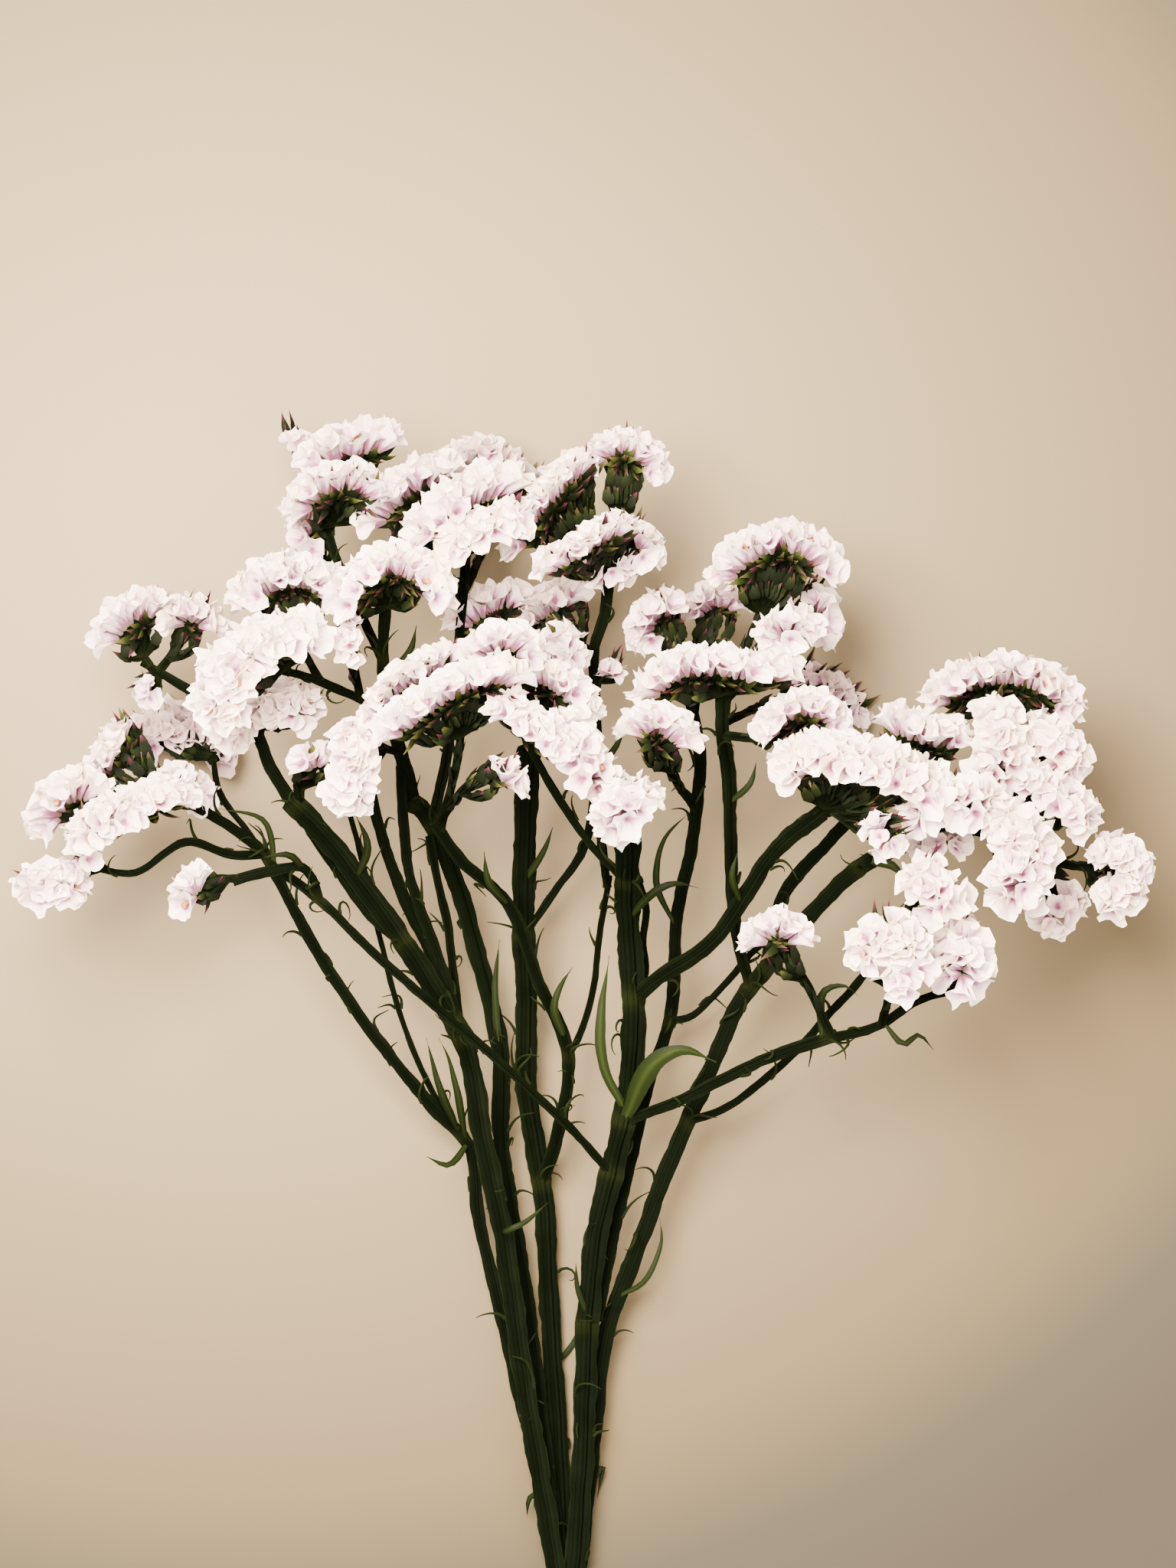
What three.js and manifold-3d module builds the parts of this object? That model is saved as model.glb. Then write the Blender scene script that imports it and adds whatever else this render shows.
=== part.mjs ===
// One cut statice stem, laid down on a table. A short winged stem forks just above its cut end into leafy axes,
// and each axis carries dense one-sided spikes of papery white florets on green bracts.
// Lengths are millimetres. While the stem is drawn, X runs across it, Y from the cut end to the flowers and
// Z away from the table, with X and Y zero where the axes stand close together.
import * as THREE from 'three';
import { mergeVertices } from 'three/addons/utils/BufferGeometryUtils.js';
import Module from 'manifold-3d';

const wasm = await Module();
wasm.setup();

// Driving dimensions
const FORK_Y = -30; // height at which the axes leave the one stem
const LEAN = 0.09; // how far a point sinks towards the table for each millimetre above the fork
const GAP = 0.4; // clearance between green solids and white ones
const STEM_STEP = 30; // spacing of the rings along an axis
const THIN_STEP = 45; // spacing of the rings along a thin axis or a stalk
const WING_EDGE = 0.35; // half the thickness of a wing at its edge
const WAVE = 0.12; // how strongly the wing edges wave, as a share of their width
const WAVE_LENGTH = 66;
const CORE_SHARE = 0.34; // radius of a spike's core, as a share of the spike's radius
const ROOT_SHARE = 0.4; // how far the core lies behind the middle of the white band, as such a share
const REACH_SHARE = 0.58; // how far the florets reach past that middle
const ROW_TILT = 38; // how far the two rows of florets lean apart, in degrees
const CYME_DROP = 9.5; // most that the green axis of a spike lies behind the middle of its white band
const CYME_CLEARANCE = 3; // least height of such an axis above the table
const STALK_RADIUS = 1.5;
const CYME_RADIUS = 1.1;
const BRACT_STEP = 18; // spacing of the pairs of bracts under a spike
const BRACT_SPREAD = 4.4; // how far the tips of a pair stand to each side
const BRACT_CLEARANCE = 0.45; // distance from the tips of the bracts up to the underside of the core
const FLORET_RIM = 5; // corners around a floret's ruffled rim
const FLORET_RIM_SHARE = 0.6; // rim radius of a floret, as a share of the spike's radius
const FLORET_RIM_EXTRA = 1;
const FLORET_SPACING = 2.6; // spacing of the florets along a spike, as a multiple of their rim radius
const END_LEAN = 1.3; // how far the florets at the two ends lean apart, in radians
const FLORET_DISH = 2.6; // how deep a floret's throat lies below its rim
const FLORET_RUFFLE = 2.2; // how far a rim corner may be turned down
const LEAF_RIDGE = 1; // height of a leaf's midrib above its edges
const SMALLEST_SCRAP = 25; // volume in mm3 under which a loose scrap of a spike is dropped

// Axes: name, parent, full width at the root and at the tip, then the points of the middle line
const STEMS = [
  ['base', null, 8.4, 9.6, [[-5, -130, 1.6], [-5.5, -80, 3.2], [-6.5, FORK_Y, 7]]],
  ['a', 'base', 5, 4, [[-6.5, FORK_Y, 7], [-10, 0, 9], [-14.5, 31, 13], [-21, 50, 16], [-29, 84, 20],
    [-36, 114, 24], [-39, 137, 27], [-51, 150, 33], [-75.5, 181, 46], [-91.5, 206, 54], [-106.5, 235, 64]]],
  ['b', 'base', 7, 7.5, [[-6.5, FORK_Y, 7], [-11, 0, 11], [-16, 30, 17], [-21, 60, 23], [-28.5, 112, 33],
    [-34, 137, 37], [-40.5, 171, 44], [-49, 186, 49], [-63, 208, 57], [-88, 241, 71], [-98, 250.5, 76]]],
  ['b_twin', 'b', 4.5, 4, [[-60, 204, 56], [-68, 210, 56], [-82, 228, 62], [-93, 246, 72], [-95, 256, 80]]],
  ['b_under', 'b', 4.4, 4, [[-44.5, 178, 42], [-52, 201.5, 46], [-58, 213.5, 50], [-65, 231, 58], [-71, 252, 68],
    [-76, 268, 77]]],
  ['b_inner', 'b', 4.2, 3.6, [[-42, 174, 42], [-49, 199, 46], [-55, 215, 52], [-59, 229, 58], [-60.5, 246, 66],
    [-61.5, 262, 74]]],
  ['b_right', 'b', 3.4, 3, [[-41.5, 173, 41], [-43.5, 188, 40], [-46, 210, 44], [-49, 223, 50], [-52, 239, 57]]],
  ['c', 'base', 5.6, 6.4, [[-6.5, FORK_Y, 7], [-9, 0, 7], [-13.5, 30, 10], [-20.5, 87, 18], [-28.5, 137, 25],
    [-29, 169, 31], [-38.5, 208, 39], [-44, 226, 46], [-53, 246, 58], [-59.5, 251, 64]]],
  ['d', 'base', 6.6, 8.8, [[-6.5, FORK_Y, 7], [-8, 0, 5], [-9, 30, 8], [-12.5, 84, 14], [-14.5, 120, 20],
    [-20, 156, 27], [-20, 188, 34], [-21, 208, 40], [-20, 253, 60], [-19, 268, 76]]],
  ['e', 'd', 4.8, 4.2, [[-14, 124, 21], [-10, 141, 30], [-6.5, 167, 38], [-16.5, 192, 49], [-26, 216.5, 60],
    [-42, 231.5, 70], [-50, 243, 77]]],
  ['e_thin', 'e', 2.6, 2.2, [[-6.5, 167, 38], [-3, 173, 40], [1.5, 188, 46], [4, 208, 54], [7, 226, 66]]],
  ['f', 'base', 7.6, 9, [[-6.5, FORK_Y, 7], [-4, 0, 10], [-1.5, 40, 18], [0, 81, 26], [3, 109, 33],
    [8, 130, 39], [13, 152, 46], [15, 180, 55], [13, 214, 68], [13, 240, 94]]],
  ['f_left', 'f', 3, 2.6, [[15, 186, 57], [18.5, 194, 54], [18, 205, 54], [19, 215, 57], [15.5, 227, 66]]],
  ['g', 'f', 4.6, 4.4, [[0, 78, 25], [3, 84, 24], [10, 117, 29], [16, 141, 31], [19, 156, 33], [27, 180, 38],
    [29, 211.5, 46], [34.5, 240, 56], [36.5, 265.5, 70], [34, 279.5, 74]]],
  ['h', 'base', 6.2, 6, [[-6.5, FORK_Y, 7], [-3, 0, 7], [1.5, 40, 13], [6, 76, 19], [16, 103, 25],
    [26, 130, 32], [39, 160, 41], [49.5, 184, 49], [61, 199, 57], [82, 223, 70], [93, 231.5, 78]]],
  ['i', 'h', 4, 5.4, [[53, 190, 51], [49.5, 202, 55], [47, 224, 62], [46, 259, 76], [44, 272, 82], [44, 285, 86]]],
  ['j', 'f', 5.4, 6.4, [[15, 184, 56], [21, 191, 62], [41, 205, 72], [61, 234, 86], [76.5, 247, 95]]],
  ['k', 'h', 5, 4.6, [[58, 197, 55], [64, 219.5, 60], [82.5, 241, 74], [95, 255, 80], [106, 266, 80]]],
  ['l', 'f', 3.8, 4.6, [[12, 146, 44], [29, 152, 52], [58, 166, 63], [81.5, 174, 73]]],
  ['l_right', 'l', 3.8, 2.6, [[79, 173, 72], [95, 177, 82], [107, 185, 86], [117, 188, 90], [124, 188, 92]]],
  ['m', 'h', 3, 3, [[32, 145, 36], [47, 151, 44], [69.5, 170, 56], [79, 181, 64], [89, 192, 78], [104, 215, 92]]],
  ['n', 'g', 2.6, 2.4, [[27, 178, 38], [34, 180, 40], [44.5, 190, 42], [54, 201, 50], [60, 205, 74]]],
  ['o', 'f', 3, 3.4, [[7, 128, 38], [-6.5, 144, 50], [-35, 170.5, 62], [-67, 198, 76], [-89, 219, 81],
    [-104, 230, 84]]],
  ['p', 'o', 3, 4.4, [[-88, 217, 81], [-90, 225, 85], [-94, 229, 90], [-104.5, 227.5, 92], [-116, 224.5, 93]]],
  ['q', 'f', 3, 3, [[12, 225, 76], [1, 236, 84], [-13, 257, 92], [-21, 272, 97], [-27, 281, 105]]],
  ['r', 'd', 2.8, 4.4, [[-20, 206, 39], [-10, 222, 44], [-1, 236, 50], [3, 268, 62], [2, 299, 70],
    [5.5, 312, 74], [7, 326, 80]]],
  ['s', 'h', 4.6, 3, [[88, 228, 75], [105, 236, 80], [118, 241, 82], [130, 240, 84], [155, 230, 84],
    [165, 229, 85]]],
  ['s_up', 's', 3.6, 2.8, [[116, 241, 82], [124, 254, 82], [128, 268, 79], [131, 280, 76]]],
  ['a_up', 'a', 2.4, 2.2, [[-104, 230, 62], [-111, 240, 64], [-120, 252, 60], [-123, 265, 46]]],
  ['a_high', 'a', 4, 3, [[-105, 233, 63], [-117, 242, 70], [-130, 249, 78], [-143, 253, 80]]],
  ['a_low', 'a', 3.6, 2.4, [[-105, 233, 63], [-117, 233, 70], [-132, 237, 78], [-148, 227, 80], [-163, 229, 80]]],
  ['b_up', 'b', 5, 3, [[-96, 249, 75], [-104, 262, 80], [-112, 279, 80], [-127, 285, 74], [-146, 296, 72]]],
  ['c_up', 'c', 5.6, 4, [[-57, 249, 62], [-60, 262, 74], [-66, 284, 82], [-67, 300, 88], [-66, 315, 96]]],
  ['c_far', 'c_up', 3.6, 2.6, [[-67, 296, 87], [-74.5, 312, 82], [-81, 327, 80], [-84.5, 337, 78], [-87, 352, 74]]],
  ['c_left', 'c_up', 3.8, 2.6, [[-65, 280, 81], [-79.5, 286, 90], [-92, 291, 100], [-106, 294, 108]]],
  ['c_mid', 'c', 4, 3.4, [[-51, 243, 56], [-46, 267, 62], [-44, 287, 66], [-41, 315, 78], [-40, 330, 88]]],
  ['thin', 'a', 2.2, 2, [[-42, 140, 29], [-52, 157, 36], [-62, 182, 41], [-68, 205, 46], [-78, 246, 60], [-84, 259, 76]]],
];

// Spikes: name, carrying axis, radius, the way the florets face, where the stalk meets the spike (0 root, 1 tip),
// the stalk's points and the middle line of the spike
const SPIKES = [
  ['crest_side', 'c_far', 6.5, [-0.5, 0.75, 0.35], 0, [[-88, 352, 73], [-91, 361, 70]], [[-93, 366, 72], [-97, 371, 72]]],
  ['crest', 'c_far', 10.5, [0, 0.75, 0.6], 0.4, [[-86, 348, 76], [-82, 357, 76]], [[-90, 363, 84], [-81, 369, 84], [-66, 372, 82]]],
  ['crest_dome', 'c_far', 9, [0, 0.9, 0.4], 0.5, [[-85, 339, 78], [-81, 345, 84]], [[-95, 349, 90], [-89, 356, 92], [-78, 359, 92], [-67, 354, 90]]],
  ['crest_low', 'c_far', 7.5, [-0.8, 0.3, 0.45], 0.5, [[-81, 329, 79], [-85, 335, 77]], [[-94, 344, 76], [-93, 333, 76]]],
  ['top_dome', 'c_mid', 9, [0, 0.8, 0.5], 0.5, [[-40, 322, 84], [-40, 343, 60], [-37, 356, 52]], [[-45, 363, 56], [-36, 367, 56], [-26, 363, 56]]],
  ['top_back', 'c_mid', 7.5, [0.3, 0.7, 0.4], 0, [[-40, 318, 80], [-31, 340, 50], [-26, 352, 42]], [[-24, 360, 41], [-13, 357, 40]]],
  ['mass_far', 'c_mid', 10, [-0.25, 0.8, 0.55], 0.2, [[-41, 316, 79], [-54, 332, 76], [-62, 341, 76]], [[-71, 345, 84], [-64, 353, 86], [-56, 359, 86], [-46, 362, 84]]],
  ['mass_mid', 'c_mid', 12, [0, 0.75, 0.65], 0.5, [[-40, 328, 87], [-41, 338, 94]], [[-52, 341, 103], [-44, 350, 103], [-35, 355, 101], [-26, 357, 98]]],
  ['mass_low', 'c_mid', 8.5, [0.25, 0.5, 0.8], 0.3, [[-40, 329, 87], [-38, 335, 94]], [[-44, 338, 107], [-33, 342, 108], [-24, 347, 106]]],
  ['diagonal', 'r', 8, [-0.6, 0.5, 0.6], 0.3, [[7, 324, 79], [-6, 333, 84]], [[-24, 336, 98], [-19.5, 346, 99], [-11, 356, 97], [-2, 365, 94]]],
  ['crown', 'r', 8, [0, 0.9, 0.4], 0.5, [[7, 325, 80], [10, 343, 82], [11, 354, 84]], [[2, 364, 90], [8, 370, 91], [16, 369, 91], [22, 361, 90]]],
  ['shelf', 'r', 7.5, [-0.2, 0.7, 0.65], 0.5, [[7, 322, 78], [3, 329, 92]], [[-14, 331, 104], [-6, 334, 106], [3, 340, 106], [12, 344, 104]]],
  ['shelf_side', 'r', 7, [0.7, 0.1, 0.6], 0, [[7, 323, 79], [13, 334, 84]], [[18, 340, 88], [20, 332, 88]]],
  ['shelf_low', 'r', 6.5, [0.2, -0.3, 0.85], 0, [[6.5, 320, 77], [5, 325, 77]], [[2, 328, 86], [12, 330, 86]]],
  ['middle_left', 'c_mid', 9, [-0.3, 0.75, 0.55], 0.3, [[-43, 296, 70], [-40, 303, 68]], [[-42, 312, 74], [-33, 318, 74], [-24, 321, 72]]],
  ['middle_right', 'r', 9, [0.1, 0.8, 0.6], 0.3, [[2, 299, 70], [-8, 305, 64]], [[-20, 313, 69], [-13, 318, 69], [-6, 322, 69]]],
  ['middle_end', 'r', 7, [0.3, 0.3, 0.85], 0, [[2, 296, 69], [-2, 300, 76]], [[-8, 308, 86], [-6, 299, 86]]],
  ['middle_tip', 'r', 5, [0.6, 0.4, 0.5], 0, [[3, 288, 67], [4.5, 291, 67]], [[5, 296, 68], [9, 296, 68]]],
  ['slope_right', 'c_up', 10.5, [0, 0.8, 0.6], 0.5, [[-66, 312, 95], [-65, 318, 102]], [[-80, 318, 111], [-73, 327, 113], [-64.5, 331, 113], [-55, 328, 112], [-50, 320, 111]]],
  ['slope_back', 'c_left', 11, [-0.2, 0.7, 0.65], 0.5, [[-88, 289, 97], [-95, 304, 92], [-98, 315, 90]], [[-112, 319, 98], [-103, 326, 99], [-93, 327, 99], [-84, 322, 99]]],
  ['slope_front', 'c_left', 12.5, [-0.3, 0.45, 0.85], 0.6, [[-98, 292, 104], [-101, 297, 110]], [[-121, 284, 116], [-118, 295, 118], [-106, 304, 118], [-92, 308, 116]]],
  ['slope_strand', 'c_left', 4.6, [0.2, 0, 0.97], 0.6, [[-74, 283, 87], [-77, 298, 100]], [[-78, 313, 110], [-77, 299, 109]]],
  ['wing_left', 'b_up', 9.5, [-0.3, 0.8, 0.5], 0.4, [[-143, 294, 72], [-148, 302, 73]], [[-158, 306, 78], [-151, 315, 80], [-141, 318, 80]]],
  ['wing_right', 'b_up', 8.5, [0.2, 0.8, 0.5], 0.4, [[-141, 292, 73], [-134, 301, 76]], [[-136, 311, 82], [-130, 316, 83], [-123, 311, 83]]],
  ['wing_drop', 'b_up', 4.6, [-0.3, -0.4, 0.8], 0, [[-140, 291, 73], [-143, 291, 68]], [[-145, 291, 71], [-144, 287, 71]]],
  ['puff', 'a_up', 11, [-0.2, 0.5, 0.8], 0.7, [[-122, 260, 46], [-125, 267, 37]], [[-145, 274, 33], [-136, 278, 34], [-126, 276, 34], [-120, 271, 34]]],
  ['shade', 'b_up', 9, [0, 0.2, 0.95], 0.5, [[-108, 271, 80], [-106, 279, 81]], [[-119, 276, 83], [-112, 283, 84], [-102, 285, 86], [-92, 282, 88]]],
  ['fork_tip', 'a_high', 8, [-0.6, 0.5, 0.55], 0.5, [[-138, 252, 79], [-145, 262, 72]], [[-153, 277, 75], [-158, 267, 77], [-163, 260, 79]]],
  ['fork_mass', 'a_high', 10.5, [-0.5, 0.5, 0.7], 0.6, [[-141, 252, 80], [-157, 250, 78]], [[-177, 246, 84], [-172, 255, 86], [-162, 257, 87]]],
  ['fork_row', 'a_high', 9.5, [-0.15, 0.55, 0.8], 0.5, [[-137, 251, 79], [-148, 247, 84]], [[-165, 243, 94], [-154, 249, 95], [-144, 253, 94], [-133, 257, 92]]],
  ['fork_back', 'a_high', 8, [0.2, 0.5, 0.7], 0.5, [[-124, 246, 74], [-129, 251, 71]], [[-136, 261, 74], [-126, 256, 74]]],
  ['fork_drop', 'a_low', 6.5, [-0.6, 0, 0.8], 0.6, [[-158, 228, 80], [-163, 233, 82]], [[-167, 242, 90], [-167, 232, 89]]],
  ['fork_end', 'a_low', 8.5, [-0.2, 0.5, 0.85], 0.5, [[-160, 228, 80], [-170, 225, 78]], [[-183, 224, 84], [-177, 228, 85], [-168, 225, 85]]],
  ['berry', 'p', 8.5, [-0.8, -0.1, 0.6], 0.4, [[-114, 225, 93], [-119, 225, 92]], [[-132, 221, 95], [-128, 228, 96]]],
  ['tuft', 'b_twin', 7.5, [-0.4, 0.65, 0.65], 0.4, [[-94, 252, 77], [-92, 260, 84]], [[-94, 266, 92], [-86, 268, 93]]],
  ['drop', 'c_up', 8.5, [0, 0.05, 0.99], 0.5, [[-61, 266, 76], [-71, 268, 94]], [[-76, 275, 110], [-77, 266, 111], [-79, 254, 110]]],
  ['arch_left', 'e', 9.5, [-0.4, 0.65, 0.65], 0.7, [[-48, 240, 76], [-43, 262, 98], [-40, 279, 112]], [[-65, 276, 124], [-56, 283, 126], [-44, 291, 127], [-32, 295, 127], [-23, 294, 125]]],
  ['arch_back', 'c_up', 7.5, [-0.4, 0.7, 0.6], 0.4, [[-62, 270, 77], [-60, 282, 98]], [[-71, 281, 112], [-63, 291, 114], [-53, 297, 114], [-43, 302, 113]]],
  ['arch_top', 'q', 9, [0, 0.7, 0.7], 0.5, [[-24, 276, 101], [-28, 292, 108]], [[-37, 301, 119], [-28, 306, 120], [-19, 302, 119]]],
  ['arch_back_right', 'd', 9, [0.35, 0.6, 0.7], 0.4, [[-19.5, 262, 70], [-15, 276, 90]], [[-17, 296, 110], [-8, 291, 110], [-1, 283, 108]]],
  ['arch_right', 'q', 8.5, [0.35, 0.5, 0.8], 0.3, [[-20, 271, 97], [-20, 275, 106]], [[-27, 286, 122], [-18, 277, 124], [-9, 271, 124]]],
  ['arch_low', 'e_thin', 10, [0.4, 0.3, 0.85], 0.6, [[6, 222, 63], [4, 240, 86], [3, 252, 103]], [[-6, 278, 118], [-1, 268, 119], [5, 259, 118]]],
  ['arch_end', 'f', 10, [0.2, 0.35, 0.9], 0.5, [[13, 236, 89], [13, 245, 105]], [[7, 246, 126], [12, 251, 128], [18, 255, 126]]],
  ['lone', 'e', 7, [0.9, -0.05, 0.4], 0, [[-49, 242, 77], [-40, 255, 104], [-32, 262, 113]], [[-26, 263, 117], [-24, 260, 117]]],
  ['cap', 'g', 9.5, [0.05, 0.9, 0.4], 0.5, [[35, 247, 59], [28, 258, 78], [25, 264, 90]], [[14, 277, 104], [23, 280, 105], [33, 273, 103]]],
  ['hill_dome', 'i', 10, [0, 0.85, 0.5], 0.5, [[44, 283, 86], [54, 306, 78], [62, 324, 80]], [[44, 327, 88], [52, 335, 90], [63, 339, 90], [73, 336, 90], [79, 329, 88]]],
  ['hill_left', 'g', 8, [-0.4, 0.7, 0.5], 0.6, [[34, 279, 74], [28, 298, 70], [25, 308, 69]], [[18, 306, 74], [21, 316, 75], [28, 318, 75]]],
  ['hill_back', 'g', 8, [0, 0.7, 0.55], 0.5, [[34.5, 277, 74], [38, 298, 64], [42, 310, 57]], [[34, 315, 60], [42, 320, 60], [50, 318, 60]]],
  ['hill_front', 'i', 9.5, [0, 0.4, 0.9], 0.3, [[44, 284, 86], [56, 298, 84]], [[60, 308, 97], [70, 311, 97]]],
  ['hill_side', 'i', 7.5, [0.6, 0.2, 0.6], 0.3, [[44, 282, 85], [64, 303, 70]], [[77, 319, 72], [78, 307, 71]]],
  ['hill_row', 'i', 9.5, [-0.1, 0.75, 0.65], 0.5, [[44, 284, 86], [43, 289, 92]], [[19, 289, 98], [30, 297, 101], [43, 298, 101], [54, 296, 101], [64, 297, 99]]],
  ['hill_shade', 'i', 8.5, [0.4, 0.5, 0.6], 0.3, [[44, 276, 83], [60, 283, 50], [68, 285, 31]], [[71, 294, 34], [80, 289, 33], [88, 281, 34]]],
  ['hill_arc', 'i', 8, [0, 0.85, 0.5], 0.5, [[44, 272, 82], [58, 271, 88], [68, 274, 90]], [[58, 276, 97], [65, 283, 99], [75, 284, 99], [82, 278, 98]]],
  ['ridge', 'j', 12, [0.1, 0.65, 0.75], 0.3, [[74, 245, 93], [82, 254, 102]], [[66, 265, 112], [78, 268, 113], [91, 266, 113], [103, 262, 112], [112, 256, 112]]],
  ['ridge_drop', 'j', 5.6, [0, -0.3, 0.95], 0, [[75, 246, 94], [88, 248, 106]], [[93, 246, 112], [99, 238, 112]]],
  ['bank', 'k', 9.5, [0, 0.8, 0.6], 0.5, [[103, 264, 80], [110, 269, 80]], [[99, 279, 87], [110, 276, 88], [121, 274, 88]]],
  ['bank_top', 's_up', 9.5, [0.1, 0.7, 0.65], 0.5, [[130, 277, 76], [136, 285, 78]], [[114, 287, 84], [127, 294, 86], [139, 295, 86], [151, 291, 85], [157, 284, 84]]],
  ['bank_mid', 's_up', 10, [0, 0.4, 0.9], 0.4, [[127, 264, 80], [132, 269, 88]], [[133, 282, 98], [135, 272, 99], [132, 262, 99]]],
  ['bank_right', 's_up', 9, [0.4, 0.3, 0.8], 0.4, [[128, 268, 79], [142, 268, 82]], [[145, 277, 92], [155, 272, 93], [158, 265, 92]]],
  ['bank_low', 's', 9, [0.4, 0.3, 0.85], 0.4, [[134, 239, 84], [146, 251, 88]], [[144, 261, 96], [154, 254, 97], [163, 248, 95]]],
  ['bank_row', 's', 9.5, [0, 0.2, 0.97], 0.5, [[112, 239, 81], [118, 246, 94]], [[107, 250, 106], [119, 254, 107], [131, 252, 107]]],
  ['bank_front', 's', 11, [0.1, 0, 0.98], 0.5, [[130, 240, 84], [139, 236, 98]], [[136, 246, 110], [143, 240, 111], [143, 230, 110], [138, 222, 108]]],
  ['far_right', 's', 8, [0.5, 0.2, 0.8], 0.5, [[160, 229, 85], [167, 229, 84]], [[169, 237, 91], [177, 234, 92], [175, 224, 91], [170, 221, 90]]],
  ['far_low', 's', 8, [0.3, -0.3, 0.8], 0.4, [[146, 234, 84], [150, 223, 76]], [[151, 214, 80], [158, 220, 80]]],
  ['shade_right', 's', 8, [0, 0.2, 0.85], 0.4, [[101, 234, 79], [108, 236, 77]], [[109, 239, 85], [120, 240, 86]]],
  ['pair_top', 'm', 10.5, [0, 0.2, 0.96], 0.5, [[101, 211, 90], [109, 220, 98]], [[110, 229, 111], [117, 219, 111]]],
  ['pair_round', 'l_right', 9, [0, 0.15, 0.98], 0.3, [[96, 178, 82], [98, 186, 98], [99, 193, 108]], [[90, 203, 115], [98, 210, 116], [106, 203, 116], [101, 194, 115]]],
  ['pair_right', 'l_right', 10, [0.2, 0, 0.95], 0.5, [[119, 188, 91], [121, 194, 94]], [[120, 211, 105], [124, 202, 106], [121, 194, 105]]],
  ['small_cap', 'l', 8.5, [0, 0.85, 0.5], 0.5, [[80, 173.5, 72], [71, 191, 84], [65, 199, 92]], [[54, 208, 102], [62, 213, 104], [70, 208, 102]]],
];

// Leaves: the axis, greatest full width and the points of the midrib
const LEAVES = [
  ['f', 6.4, [[10, 145, 45], [21, 164, 60], [31, 169, 64], [42, 165, 62]]],
  ['f', 3.6, [[11, 148, 46], [5, 164, 53], [4, 177, 57], [7, 200, 60]]],
  ['e', 2.8, [[-10, 172, 40], [-11, 183, 48], [-9, 190, 50], [-5, 196, 52]]],
  ['e', 2.6, [[-26, 216, 60], [-32.5, 224, 70], [-34, 234, 74]]],
  ['d', 2.4, [[-20, 222, 46], [-14.5, 234, 54], [-11.5, 242, 58]]],
  ['g', 2.2, [[29, 210, 46], [22.5, 223, 52], [25, 238, 56], [33.5, 247, 60]]],
  ['f', 2.8, [[13, 212, 67], [22, 221, 76], [29, 223.5, 78], [36, 222, 76]]],
  ['c', 2.6, [[-29, 165, 30], [-30.5, 189, 36], [-29, 205, 38]]],
  ['a', 2.4, [[-40, 138, 28], [-46, 131, 34], [-53, 134, 36]]],
  ['a', 2.6, [[-43, 141, 29], [-48, 155, 42], [-51, 165, 45], [-53, 173, 44]]],
  ['a', 2.4, [[-41, 139, 28], [-43, 156, 42], [-46, 167, 46], [-49, 173, 48]]],
  ['b', 2, [[-28, 108, 32], [-26, 110, 42], [-20, 113, 42], [-13, 119, 40]]],
  ['h', 2, [[11, 88, 22], [18.5, 93, 26], [24, 106, 28], [23.5, 114, 28]]],
  ['f', 2, [[0, 82, 26], [-3.5, 91, 30], [-4, 99, 32]]],
  ['d', 2, [[-11, 66, 11], [-4, 74, 8], [-2, 82, 8]]],
  ['h', 2, [[-1, 24, 10], [5, 33, 9], [3, 22, 6]]],
  ['a', 2, [[-13, 24, 12], [-19, 22, 11], [-20, 16, 8]]],
  ['l', 2.8, [[76, 172, 71], [77, 188, 76], [84, 190, 78], [88, 187, 78]]],
  ['l_right', 2, [[97, 178, 83], [103, 171, 82], [108, 174, 80], [113, 169, 78]]],
  ['a', 2, [[-102, 226, 61], [-106, 244, 70], [-121, 248, 74]]],
  ['h', 3.4, [[92, 231, 77], [100, 229, 84], [104, 224, 86]]],
  ['p', 2.4, [[-93, 228, 89], [-98, 233, 96], [-106, 232, 98]]],
  ['j', 2.2, [[50, 218, 79], [47, 226, 86], [49, 234, 88]]],
  ['i', 2.4, [[46, 250, 72], [53, 256, 76], [55, 263, 76]]],
  ['r', 2.2, [[2, 262, 60], [9, 268, 62], [12, 276, 62]]],
  ['b', 2.6, [[-75, 224, 64], [-72, 236, 72], [-76, 246, 76]]],
  ['c_up', 2.6, [[-66, 290, 84], [-58, 300, 90], [-56, 308, 94]]],
];

// The same draw every time: a small seeded generator
function draw(seed) {
  let state = seed;
  return () => {
    state = (state * 1664525 + 1013904223) % 4294967296;
    return state / 4294967296;
  };
}

// Places a point of the tables: the stem is laid down, so whatever stands above the fork sinks towards the table
function laid([x, y, z]) {
  return new THREE.Vector3(x, y, z - LEAN * Math.max(0, y - FORK_Y));
}

function through(points) {
  return points.length === 2
    ? new THREE.LineCurve3(points[0], points[1])
    : new THREE.CatmullRomCurve3(points, false, 'centripetal');
}

// Moves the two end rings apart, so that a solid that is grown all round is longer too
function lengthened(rings, grow) {
  const middle = (ring) => ring.reduce((sum, p) => sum.add(p), new THREE.Vector3()).divideScalar(ring.length);
  const push = (ring, inner) => {
    const step = middle(ring).sub(middle(inner)).setLength(grow);
    ring.forEach((p) => p.add(step));
  };
  push(rings[0], rings[1]);
  push(rings[rings.length - 1], rings[rings.length - 2]);
  return rings;
}

// A closed solid from a row of rings with equal numbers of points, capped at both ends
function loft(rings) {
  const count = rings[0].length;
  const position = rings.flat().flatMap((p) => [p.x, p.y, p.z]);
  const index = [];
  for (let r = 0; r + 1 < rings.length; r++) {
    for (let k = 0; k < count; k++) {
      const [a, b] = [r * count + k, r * count + ((k + 1) % count)];
      index.push(a, b, b + count, a, b + count, a + count);
    }
  }
  const last = (rings.length - 1) * count;
  for (let k = 1; k + 1 < count; k++) index.push(0, k + 1, k, last, last + k, last + k + 1);
  return solidOf(position, index);
}

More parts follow.
